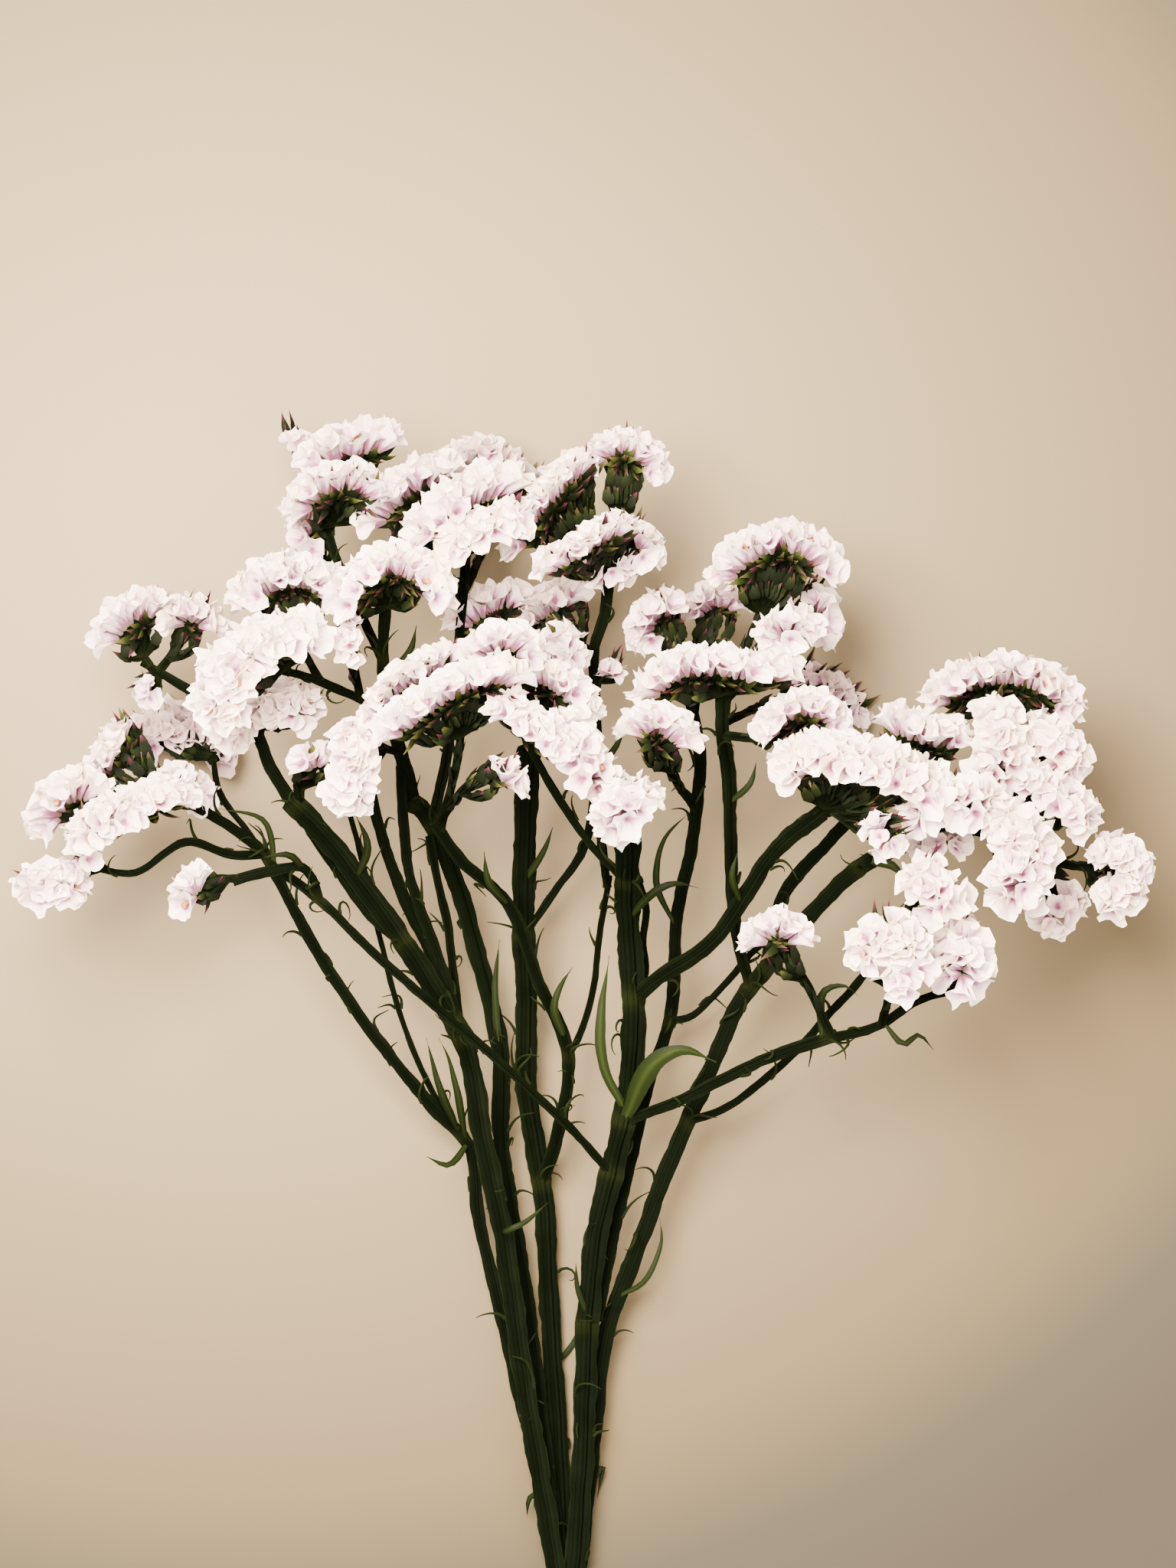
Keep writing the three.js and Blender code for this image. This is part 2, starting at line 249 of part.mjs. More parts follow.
function solidOf(position, index) {
  const geometry = new THREE.BufferGeometry();
  geometry.setAttribute('position', new THREE.Float32BufferAttribute(position, 3));
  geometry.setIndex(index);
  const merged = mergeVertices(geometry, 1e-4);
  const mesh = new wasm.Mesh({
    numProp: 3,
    vertProperties: merged.attributes.position.array,
    triVerts: new Uint32Array(merged.index.array),
  });
  const solid = new wasm.Manifold(mesh);
  if (solid.volume() > 0) return solid;
  const turned = index.slice();
  for (let i = 0; i < turned.length; i += 3) [turned[i + 1], turned[i + 2]] = [turned[i + 2], turned[i + 1]];
  return solidOf(position, turned);
}

// The section's own axes at a point of a curve: one across the stem and level, the other away from the table
function axesAt(curve, t) {
  const along = curve.getTangentAt(t).normalize();
  const side = new THREE.Vector3(0, 0, 1).cross(along);
  if (side.lengthSq() < 1e-4) side.set(1, 0, 0);
  side.normalize();
  return { along, side, up: along.clone().cross(side).normalize() };
}

function ringAt(curve, t, section) {
  const centre = curve.getPointAt(t);
  const { side, up } = axesAt(curve, t);
  return section.map(([u, v]) => centre.clone().addScaledVector(side, u).addScaledVector(up, v));
}

// Section of a winged stem: a strap with thin edges and a raised midrib on both faces
function wingedSection(width, grow) {
  const [half, core] = [width / 2 + grow, width * 0.26 + grow];
  const edge = WING_EDGE + grow;
  return [[half, -edge], [half, edge], [0, core], [-half, edge], [-half, -edge], [0, -core]];
}

function isThin(rootWidth, tipWidth) {
  return Math.max(rootWidth, tipWidth) < 4;
}

function stepsAlong(curve, rootWidth, tipWidth) {
  return Math.max(2, Math.round(curve.getLength() / (isThin(rootWidth, tipWidth) ? THIN_STEP : STEM_STEP)));
}

function stemSolid({ curve, steps, rootWidth, tipWidth, phase }, grow) {
  const length = curve.getLength();
  const rings = [];
  for (let s = 0; s <= steps; s++) {
    const t = s / steps;
    const wave = 1 + WAVE * Math.sin((t * length * 2 * Math.PI) / WAVE_LENGTH + phase);
    const width = (rootWidth + (tipWidth - rootWidth) * t) * wave;
    const section = isThin(rootWidth, tipWidth) ? triangle(width / 2 + grow) : wingedSection(width, grow);
    rings.push(ringAt(curve, t, section));
  }
  return loft(lengthened(rings, grow));
}

function triangle(radius) {
  return [[radius, -radius * 0.6], [0, radius * 1.1], [-radius, -radius * 0.6]];
}

function stalkSolid(curve, grow) {
  const steps = Math.max(1, Math.round(curve.getLength() / THIN_STEP));
  const section = triangle(STALK_RADIUS + grow);
  return loft(lengthened(Array.from({ length: steps + 1 }, (_, s) => ringAt(curve, s / steps, section)), grow));
}

// The nearest point inside a carrying axis, so that whatever grows from it starts within it
function seated(point, { curve, steps }) {
  const centres = curve.getSpacedPoints(steps);
  const nearest = centres.slice(1).map((end, k) =>
    new THREE.Line3(centres[k], end).closestPointToPoint(point, true, new THREE.Vector3()));
  return nearest.reduce((best, p) => (p.distanceToSquared(point) < best.distanceToSquared(point) ? p : best));
}

// Section of a leaf: a low ridge over a flat back; a grown one keeps clear of the thin edges too
function leafSection(half, grow) {
  if (!grow) return [[half, 0], [0, LEAF_RIDGE], [-half, 0]];
  const wide = half + grow;
  return [[wide, -grow], [wide, grow], [0, LEAF_RIDGE + grow], [-wide, grow], [-wide, -grow]];
}

function leafSolid(curve, width, grow) {
  const steps = 2;
  const rings = [];
  for (let s = 0; s <= steps; s++) {
    const t = s / steps;
    const half = (width / 2) * (0.45 + 1.7 * t * (1 - t) * 1.3) * (s === steps ? 0.35 : 1);
    rings.push(ringAt(curve, t, leafSection(half, grow)));
  }
  return loft(lengthened(rings, grow));
}

// A papery floret: a funnel from its foot in the core to a ruffled rim with a sunk throat
function floretSolid(foot, way, length, rim, random) {
  const side = way.clone().cross(new THREE.Vector3(0.31, 0.17, 0.93)).normalize();
  const across = way.clone().cross(side).normalize();
  const points = [foot, foot.clone().addScaledVector(way, length - FLORET_DISH)];
  const turn = random() * Math.PI;
  for (let k = 0; k < FLORET_RIM; k++) {
    const angle = turn + (k * 2 * Math.PI) / FLORET_RIM;
    const reach = rim * (0.84 + 0.24 * random());
    points.push(foot.clone()
      .addScaledVector(way, length - FLORET_RUFFLE * random())
      .addScaledVector(side, Math.cos(angle) * reach)
      .addScaledVector(across, Math.sin(angle) * reach));
  }
  const index = [];
  for (let k = 0; k < FLORET_RIM; k++) {
    const [a, b] = [2 + k, 2 + ((k + 1) % FLORET_RIM)];
    index.push(0, b, a, 1, a, b);
  }
  return solidOf(points.flatMap((p) => [p.x, p.y, p.z]), index);
}

// Directions at a point of a spike: along it, the way its florets face, and to its side
function spikeAxes(line, t, facing) {
  const along = line.getTangentAt(t).normalize();
  const out = facing.clone().addScaledVector(along, -facing.dot(along));
  if (out.length() < 0.2) out.set(0, 0, 1);
  out.normalize();
  return { along, out, side: along.clone().cross(out).normalize() };
}

// A point behind the middle line of a spike, on the side away from its florets
function behind(line, t, facing, distance) {
  return line.getPointAt(t).addScaledVector(spikeAxes(line, t, facing).out, -distance);
}

function dropOf(line, facing, radius) {
  const room = (line.getPointAt(0.5).z - CYME_CLEARANCE) / Math.max(0.1, spikeAxes(line, 0.5, facing).out.z);
  return Math.min(CYME_DROP, radius, Math.max(radius / 3, room));
}

function bractPairs(line) {
  return Math.max(1, Math.round(line.getLength() / BRACT_STEP));
}

// Section of a spike's green axis: a keel that opens to both bracts; a grown one has upright edges
function cymeSection(wide, high, grow) {
  if (!grow) return [[0, -CYME_RADIUS], [wide, high], [-wide, high]];
  const [w, h] = [wide + grow, high + grow];
  return [[0, -CYME_RADIUS - grow], [w, high - grow], [w, h], [-w, h], [-w, high - grow]];
}

// The green axis under a spike, with pairs of pointed bracts that rise beside the white core
function cymeSolid(line, facing, radius, drop, grow) {
  const pairs = bractPairs(line);
  const rings = [];
  for (let k = 0; k <= 2 * pairs; k++) {
    const t = k / (2 * pairs);
    const { out, side } = spikeAxes(line, t, facing);
    const spread = Math.min(BRACT_SPREAD, radius * 0.5) * (k % 4 === 1 ? 1 : 0.8);
    const rise = Math.max(CYME_RADIUS, drop - radius * (ROOT_SHARE + CORE_SHARE / 2) - BRACT_CLEARANCE);
    const [wide, high] = k % 2 ? [spread, rise] : [CYME_RADIUS, CYME_RADIUS];
    const section = cymeSection(wide, high, grow);
    const centre = behind(line, t, facing, drop);
    rings.push(section.map(([u, v]) => centre.clone().addScaledVector(side, u).addScaledVector(out, v)));
  }
  return loft(lengthened(rings, grow));
}

// The slim white core of a spike, flat on the side that the bracts stand against
function coreSolid(line, facing, radius) {
  const share = radius * CORE_SHARE;
  const steps = 2 * bractPairs(line);
  return loft(Array.from({ length: steps + 1 }, (_, s) => {
    const { out, side } = spikeAxes(line, s / steps, facing);
    const centre = behind(line, s / steps, facing, radius * ROOT_SHARE);
    return triangle(share).map(([u, v]) => centre.clone().addScaledVector(side, u).addScaledVector(out, v));
  }));
}

// Rows of florets over the facing half of a spike, one more leaning out at each end, all fused to a slim core
function spikeSolid(line, radius, facing, random) {
  const rim = radius * FLORET_RIM_SHARE + FLORET_RIM_EXTRA;
  const length = line.getLength();
  const tilts = radius >= 6 ? [-ROW_TILT, ROW_TILT] : [0];
  const count = Math.max(1, Math.round(length / (rim * FLORET_SPACING)) + 1);
  const parts = [coreSolid(line, facing, radius)];
  tilts.forEach((degrees, row) => {
    const inRow = row % 2 && count > 1 ? count - 1 : count;
    for (let k = 0; k < inRow; k++) {
      const t = inRow === 1 ? 0.5 : k / (inRow - 1) * (inRow / count) + (1 - inRow / count) / 2;
      const [tilt, lean] = [THREE.MathUtils.degToRad(degrees), (t - 0.5) * END_LEAN];
      const { along, out, side } = spikeAxes(line, t, facing);
      const way = out.clone().multiplyScalar(Math.cos(tilt) * Math.cos(lean))
        .addScaledVector(side, Math.sin(tilt))
        .addScaledVector(along, Math.cos(tilt) * Math.sin(lean))
        .normalize();
      const foot = behind(line, t * 0.8 + 0.1, facing, radius * ROOT_SHARE);
      const reach = radius * (ROOT_SHARE + REACH_SHARE) * (0.94 + 0.12 * random());
      parts.push(floretSolid(foot, way, reach, rim, random));
    }
  });
  return wasm.Manifold.union(parts);
}

// The largest body of a solid, without loose scraps and with any sealed hollow filled
function mainBody(solid) {
  return solid.decompose().reduce((best, body) => (body.volume() > best.volume() ? body : best));
}

function meshOf(solid, name, material) {
  const { numProp, vertProperties, triVerts } = solid.getMesh();
  const position = [];
  for (let i = 0; i < vertProperties.length; i += numProp) position.push(...vertProperties.subarray(i, i + 3));
  const geometry = new THREE.BufferGeometry();
  geometry.setAttribute('position', new THREE.Float32BufferAttribute(position, 3));
  geometry.setIndex([...triVerts]);
  geometry.computeVertexNormals();
  const mesh = new THREE.Mesh(geometry, material);
  mesh.name = name;
  return mesh;
}

const axes = new Map();
STEMS.forEach(([name, parent, rootWidth, tipWidth, points], phase) => {
  const placed = points.map(laid);
  if (parent) placed[0] = seated(placed[0], axes.get(parent));
  const curve = through(placed);
  axes.set(name, { curve, steps: stepsAlong(curve, rootWidth, tipWidth), rootWidth, tipWidth, phase });
});

const spikes = SPIKES.map(([name, carrier, radius, facing, join, stalk, points]) => {
  const way = new THREE.Vector3(...facing).normalize();
  const line = through(points.map(laid));
  const drop = dropOf(line, way, radius);
  const placed = stalk.map(laid);
  placed[0] = seated(placed[0], axes.get(carrier));
  const meeting = Math.min(0.96, Math.max(0.04, join));
  placed.push(behind(line, meeting, way, drop));
  return { name, radius, way, line, drop, stalk: through(placed) };
});

// Everything green, fused: axes, leaves, stalks, the axes under the spikes, and their bracts
function greenSolid(grow) {
  const parts = [...axes.values()].map((axis) => stemSolid(axis, grow));
  for (const [carrier, width, points] of LEAVES) {
    const placed = points.map(laid);
    placed[0] = seated(placed[0], axes.get(carrier));
    parts.push(leafSolid(through(placed), width, grow));
  }
  for (const { radius, way, line, drop, stalk } of spikes) {
    parts.push(stalkSolid(stalk, grow));
    parts.push(cymeSolid(line, way, radius, drop, grow));
  }
  return wasm.Manifold.union(parts);
}

const table = new wasm.Manifold(meshOfTable());
function meshOfTable() {
  const box = new THREE.BoxGeometry(900, 900, 100).translate(0, 100, -50);
  box.deleteAttribute('normal');
  box.deleteAttribute('uv');
  const merged = mergeVertices(box, 1e-4);
  return new wasm.Mesh({
    numProp: 3,
    vertProperties: merged.attributes.position.array,
    triVerts: new Uint32Array(merged.index.array),
  });
}

const green = new THREE.MeshStandardMaterial({ name: 'stem green', color: '#2f4223', roughness: 0.62, metalness: 0 });
const white = new THREE.MeshStandardMaterial({ name: 'papery white', color: '#f3eaee', roughness: 0.8, metalness: 0 });

const statice = new THREE.Group();
statice.name = 'statice_stem';
const stemBody = mainBody(greenSolid(0).subtract(table)).simplify(0.02);
statice.add(meshOf(stemBody, 'winged_stem', green));

// Spikes that grow into each other hold together as one body, which takes the name of its largest spike
const random = draw(20);
const spikeSolids = spikes.map(({ line, radius, way }) => spikeSolid(line, radius, way, random));
const clearGreen = greenSolid(GAP);
const florets = wasm.Manifold.union(spikeSolids).subtract(clearGreen).subtract(table).simplify(0.02);
const bodies = florets.decompose().sort((a, b) => b.volume() - a.volume());
const named = new Set();
for (const body of bodies) {
  if (body.volume() < SMALLEST_SCRAP) continue;
  let best = null;
  spikes.forEach(({ name }, k) => {
    const share = body.intersect(spikeSolids[k]).volume();
    if (!named.has(name) && share > SMALLEST_SCRAP && (!best || share > best.share)) best = { name, share };
  });
  if (!best) continue;
  named.add(best.name);
  statice.add(meshOf(mainBody(body), 'florets_' + best.name, white));
}

// The origin is on the table, under the middle of the whole stem
const bounds = new THREE.Box3().setFromObject(statice);
const middle = bounds.getCenter(new THREE.Vector3());
statice.position.set(-middle.x, -middle.y, -bounds.min.z);

export default statice;
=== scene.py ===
"""A cut statice stem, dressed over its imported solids.

The stem lies on a pale surface and is seen from above. The tables hold the drawing of the plant in
millimetres: X across it, Y from the cut end to the flowers, Z away from the surface.
"""
import math
import random

import bpy
import numpy as np
from mathutils import Matrix, Vector


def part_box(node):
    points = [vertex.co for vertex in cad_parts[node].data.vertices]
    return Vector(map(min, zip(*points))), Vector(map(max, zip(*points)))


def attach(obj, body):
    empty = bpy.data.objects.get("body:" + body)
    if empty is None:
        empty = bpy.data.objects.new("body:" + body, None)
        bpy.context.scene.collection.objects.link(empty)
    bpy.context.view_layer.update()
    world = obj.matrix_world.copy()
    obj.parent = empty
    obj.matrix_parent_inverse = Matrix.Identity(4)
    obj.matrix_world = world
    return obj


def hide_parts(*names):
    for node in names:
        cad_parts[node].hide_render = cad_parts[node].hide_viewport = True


bl_info = {
    "name": "Statice stem",
    "version": (1, 0, 0),
    "blender": (4, 5, 0),
    "location": "View3D > Sidebar > Statice",
    "description": "Papery spikes, bracts, winged axes and leaves of a cut statice stem",
    "category": "Add Mesh",
}

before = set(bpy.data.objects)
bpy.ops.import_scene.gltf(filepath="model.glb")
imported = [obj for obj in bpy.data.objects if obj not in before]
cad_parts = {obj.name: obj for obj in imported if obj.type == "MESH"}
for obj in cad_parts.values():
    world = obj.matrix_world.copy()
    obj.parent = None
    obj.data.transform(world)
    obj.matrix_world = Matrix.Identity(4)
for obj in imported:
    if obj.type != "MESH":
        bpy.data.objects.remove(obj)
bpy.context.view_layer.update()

MM = 0.001
STEM_NODE = "winged_stem"
FLORET_NODE = "florets_"
UPWARD = Vector((0, 1, 0))

# The drawing's own facts, in mm: where the stem is cut and forks, and how it sinks above the fork
CUT_END = (-5, -130)
FORK_Y = -30
FORK = (-6.5, FORK_Y, 7)
LEAN = 0.09
# The photo's size in pixels, what one pixel spans in mm, and the height of most heads
PHOTO_SIZE = (1536, 2048)
MM_PER_PIXEL = 0.25
HEAD_HEIGHT = 70

# Sizes that a user can change, in m: a calyx across its rim, and a thread
CALYX_WIDTH = 0.010
THREAD_LENGTH = 0.011

# All lengths from here to the materials are in mm
# Smooth lines: steps between two points, how their spacing counts, and the share that gives a direction
SPLINE_STEPS = 14
CENTRIPETAL = 0.5
TANGENT_STEP = 0.02
# A direction that is shorter than this is replaced by a fixed one
SIDE_LEAST = 0.01
OUT_LEAST = 0.2
# Below this height, in mm, what would dip into the surface is pressed flat against it
PRESSED = 1.2

# The green axis under a spike: most that it lies behind the florets, its clearance, its least rise
CYME_DROP = 9.5
CYME_CLEARANCE = 3
CYME_RISE = 0.1
CYME_STEPS = 6
CYME_WIDTHS = (2.8, 2.2)
# The shares of its length between which the stalk meets it
JOIN_RANGE = (0.04, 0.96)
STALK_WIDTHS = (3.2, 2.6)
# The ends of a spike that stay free: most in mm, and as a share of its length
END_INSET = 2.8
INSET_SHARE = 0.35

# A calyx: rings from the foot, over the rim and down inside, as height, radius and a colour value from the
# white rim towards the dark foot, which is partly the calyx's own throat and green foot and partly painted
# shade down in the funnel
CALYX_PLEATS = 9
CALYX_LENGTH = 8.8
CALYX_MODELS = 6
CALYX_RINGS = [(0.0, 0.8, 1.0), (5.4, 2.3, 0.32), (8.8, 5.0, 0.0), (5.0, 1.5, 0.5)]
CALYX_RIM = 2
# Its throat: points nearer to the middle than this, how deep they lie, and their colour value, partly its
# own dark throat and partly painted shade
THROAT_RADIUS = 0.1
THROAT_DEPTH = 3.4
THROAT_STAIN_AND_SHADE = 0.85
STAIN_AND_SHADE_SPREAD = 0.06
# The rim: how far each tooth rises and reaches, folds as waves in a turn and swing, and finer ripples
TOOTH_RISE = 0.7
TOOTH_REACH = (0.88, 1.14)
RIM_FOLDS = [(2, 1), (3, 0.8)]
FOLD_RISE = 0.8
FOLD_REACH = 0.08
RIPPLES = 5
# The valleys between the pleats, on the rim and below it; below the rim the valleys are darker than the
# ridges, as coloured veins and as painted shade in the creases
VALLEY_DIP = 0.9
VALLEY_NARROWING = 0.16
RIDGE_AND_VALLEY = (1.12, 0.8)
VEIN_STAIN_AND_SHADE = 0.16

# Calyces along a spike: their step, and by the spike's least radius how its rows lean out, in degrees
CALYX_STEP = 4.3
CALYX_ROWS = [(11, (-42, -20, 2, 24)), (7, (-36, -10, 16)), (0, (-24, 12))]
# A spike that faces away from the surface more than this has one more row on its lower side
OPEN_FACING = 0.74
OPEN_ROW = 44
# How they lean at the ends of a spike; on one that is longer than LONG_SPIKE only near its ends
END_LEAN = 0.85
LONG_SPIKE = 8
LEAN_SPREAD = 0.2
TILT_SPREAD = 0.28
# Florets lean towards the far end of the stem, and their feet lie as much nearer its cut end
UP_LEAN = 0.38
UP_SHIFT = 3.4
FOOT_SPREAD = 0.8
# Shares of a spike's radius: from its middle line down to the feet, and up to the rims
ROOT_SHARE = 0.4
REACH_SHARE = 0.58
REACH_DRAW = (0.82, 1.12)
WIDTH_DRAW = (0.82, 1.18)
# Spikes of a smaller radius have narrower calyces and bracts
FULL_RADIUS = 7
# Painted shade: heads below this height above the surface get darker calyces, the lower the darker, as if
# shaded by the heads above
SHADED_BELOW = 78
LOW_SHADE_DRAW = (0.6, 1)

# Spent corollas: small dry cups in the throats of a few calyces
COROLLA_SHARE = 0.03
COROLLA_CORNERS = 5
COROLLA_RADII = (0.5, 1.25)
COROLLA_DEPTH = 2.6
COROLLA_HEIGHT = 5.4

# A bract: rings from the foot, as height, half width and half thickness, and the lines of its form
BRACT_RINGS = [(0.0, 0.9, 0.5), (2.2, 1.5, 0.7), (4.6, 1.1, 0.5), (6.6, 0.45, 0.25)]
BRACT_LENGTH = 8.4
BRACT_CURL = 1.6
BRACT_HOLLOW = 0.35
BRACT_POINT_RADIUS = 0.05
BRACT_POINT_ROOM = 0.5
# Tufts of bracts under a spike: their step, and how far the bracts lean to either side, in degrees
BRACT_STEP = 3.0
BRACT_TURNS = (-68, -36, -14, 14, 36, 68)
BRACT_FOOT = 0.8
BRACT_OVERLAP = 0.2
BRACT_LEAST = 3.5
BRACT_END_LEAN = 0.7
BRACT_SPREADS = {"angle": 0.2, "lean": 0.3, "spin": 0.4}
BRACT_LONG_DRAW = (0.8, 1.15)
BRACT_WIDE_DRAW = (0.9, 1.25)
# From one bract to the next round a branchlet or a stalk, in radians
SPIRAL = 2.4

# Branchlets fan out from a stalk to the axis under its spike
BRANCHLET_SPACING = 5.5
BRANCHLET_REACH = 21
BRANCHLET_LEAST = 4
BRANCHLET_START = 0.25
BRANCHLET_RANGE = (0.05, 0.9)
BRANCHLET_DROP = 0.85
BRANCHLET_BOW = (5, 4)
BRANCHLET_WIDTHS = (2.6, 2.6 * 0.8)
# Bracts along them: the first one's number, their length at the foot and what it gains, and their draws
FIRST_BRACT = 2
BRANCHLET_BRACT_STEP = 1.9
BRANCHLET_BRACT_LENGTH = 9.5
BRANCHLET_BRACT_GROWTH = (0.55, 0.5)
BRANCHLET_BRACT_FOOT = 0.4
BRANCHLET_BRACT_UP = 0.4
BRANCHLET_BRACT_TURN = 0.4
BRANCHLET_BRACT_OUT = (0.15, 0.5)
BRANCHLET_BRACT_LONG = (0.8, 1.2)
BRANCHLET_BRACT_WIDE = (1.0, 1.5)
BRANCHLET_FULL_RADIUS = 8
BRANCHLET_STRAW = 0.8
# Narrow bracts along the stalks: the share of a stalk that has them, and their draws
STALK_BRACT_COVER = 0.8
STALK_BRACT_STEP = 2.4
STALK_BRACT_LENGTH = (6, 11)
STALK_BRACT_WIDE = (0.6, 1.0)
STALK_BRACT_TURN = 0.5
STALK_BRACT_OUT = (0.2, 0.5)
STALK_BRACT_TIP = 0.3

# Rings along an axis: their step, and the fewest of them
RING_STEP = 2.2
RINGS_LEAST = 3
# Half a section from the wing edge to the midrib: share of half width, height, how much of an edge
WING_SECTION = [(1.0, 0.05, 1.0), (0.8, 0.12, 0.2), (0.55, 0.28, 0.6), (0.42, 0.22, 0.0),
                (0.2, 0.5, 0.7), (0.08, 0.44, 0.1)]
RIDGE = (0.0, 0.47, 0.2)
WING_BACK = [(-0.45, -0.5, 0.2), (0.45, -0.5, 0.2)]
# How thick an axis is: as a share of its half width, and what is added
CORE_SHARE = 0.62
CORE_LEAST = 0.25
# How uneven the ribs are: sideways, in height, and as edges
RIB_SPREAD = 0.06
RIB_HEIGHT = (0.7, 1.25)
RIB_EDGE = (0.3, 1)
# Waves of a wing's edge: shortest and longest in mm, and their share of the swing
WAVES = [(22, 40, 0.8), (11, 17, 0.4), (6.5, 9.5, 0.2)]
WING_WAVE = 0.08
WING_LIFT = 0.12
WING_FROM = 0.6
WING_OFFSET = 9
EDGE_ROUGHNESS = 0.06
# Between the waves an axis is this much of its drawn width
AXIS_SHARE = 0.92
# How far a section turns to and fro along its axis, in radians
TWIST = 0.1
# Knots, where other axes leave one: their length, what they add to width and height, and their colour
KNOT_LENGTH = 2.2
KNOT_WIDTH = 0.06
KNOT_HEIGHT = 0.25
KNOT_COLOUR = 0.12

# A leaf: its section as share of half width, height and edge, then the form of its length
LEAF_SECTION = [(1.0, 0.0, 1.0), (0.5, 0.12, 0.35), (0.0, 0.42, 0.0), (-0.5, 0.12, 0.35),
                (-1.0, 0.0, 1.0), (0.0, -0.18, 0.1)]
LEAF_STEP = 2.5
LEAF_RINGS_LEAST = 6
LEAF_WAVE = 0.12
LEAF_WAVE_OFFSET = 7
LEAF_TIP = 0.06
LEAF_SPAN = (0.13, 0.93)
LEAF_FULLNESS = 0.8
LEAF_FOLD = (0.3, 0.25, 5)
# Leaves that are wider than this are fresh, and the others have this much of the fresh green
FRESH_WIDTH = 3
FRESH_DRAW = (0.1, 0.6)

# A thread: bends, rings, the bend at each in radians, how far it may turn down, and its section
THREAD_BENDS = 6
THREAD_RINGS = 7
THREAD_BEND = (0.25, 0.75)
THREAD_DOWN = -0.4
THREAD_ROOT = 0.5
THREAD_TIP = 0.12
THREAD_FLAT = 0.6
THREAD_EDGE = 0.6
THREAD_TONE = (0.35, 0.4)
# Threads at a knot, then those along the edges of an axis
KNOT_THREADS = 2
KNOT_THREAD_SIDE = 0.8
KNOT_THREAD_UP = 0.4
KNOT_THREAD_LENGTH = (0.6, 1.3)
THREAD_SPACING = 24
SIDE_THREAD_RANGE = (0.1, 0.95)
SIDE_THREAD_OUT = (0.1, 0.5)
SIDE_THREAD_UP = 0.2
SIDE_THREAD_ROOT = 0.8
SIDE_THREAD_LENGTH = (0.5, 1.4)

# Edges sharper than this stay sharp, in degrees
SMOOTH_ANGLE = 50
PETAL_ANGLE = 38
AXIS_ANGLE = 35

# Fine relief of each surface: grain in mm, its detail, strength of the bumps, and their depth in mm
RELIEF = {
    "calyx": (1.0, 3.0, 0.6, 0.35),
    "bract": (0.8, 2.0, 0.3, 0.15),
    "stem": (1.5, 3.0, 0.35, 0.25),
    "leaf": (1.2, 2.0, 0.25, 0.15),
    "board": (1.5, 2.0, 0.04, 0.1),
}
# Patches of colour: grain in mm, its detail
STEM_PATCHES = (9, 3.0)
COROLLA_PATCHES = (1.0, 2.0)
# Tints that vary a colour
WHITE = "#FFFFFF"
WARM_PETAL = "#FBF1E6"
COOL_PETAL = "#FAF0F8"
BRACT_POINT = "#5A3138"
STRAW_MIDDLE = "#1D250E"
STRAW_POINT = "#7A6E40"
STEM_PATCH = "#B9C7A6"
DULL_LEAF = "#7C8A6A"
PALE_COROLLA = "#B98A5A"
MULTIPLY = {"data_type": "RGBA", "blend_type": "MULTIPLY"}
# The sockets of a node that mixes two colours, which Blender numbers
MIX_SHARE, MIX_FIRST, MIX_SECOND, MIX_RESULT = 0, 6, 7, 2

# A painted pool of light on the surface: where it is brightest, how far it fades into painted shade, and
# how wide that is against its height, in mm
GLOW = (-105, 195)
GLOW_REACH = 430
GLOW_STRETCH = 1.15
# The width of the surface, in m
BOARD_WIDTH = 6
# Lights: name, place and size in m, power in W, colour
LIGHTS = [
    ("key", (-0.6, 0.8, 1.9), 1.3, 520, "#FFF0DE"),
    ("fill", (1.1, -0.7, 1.7), 1.4, 60, "#FFEEDC"),
]
ROOM_STRENGTH = 2.4
ROOM_COLOUR = "#FFEFDE"
# The camera: its distance in m, and the width of its sensor in mm
CAMERA_DISTANCE = 14
SENSOR = 36

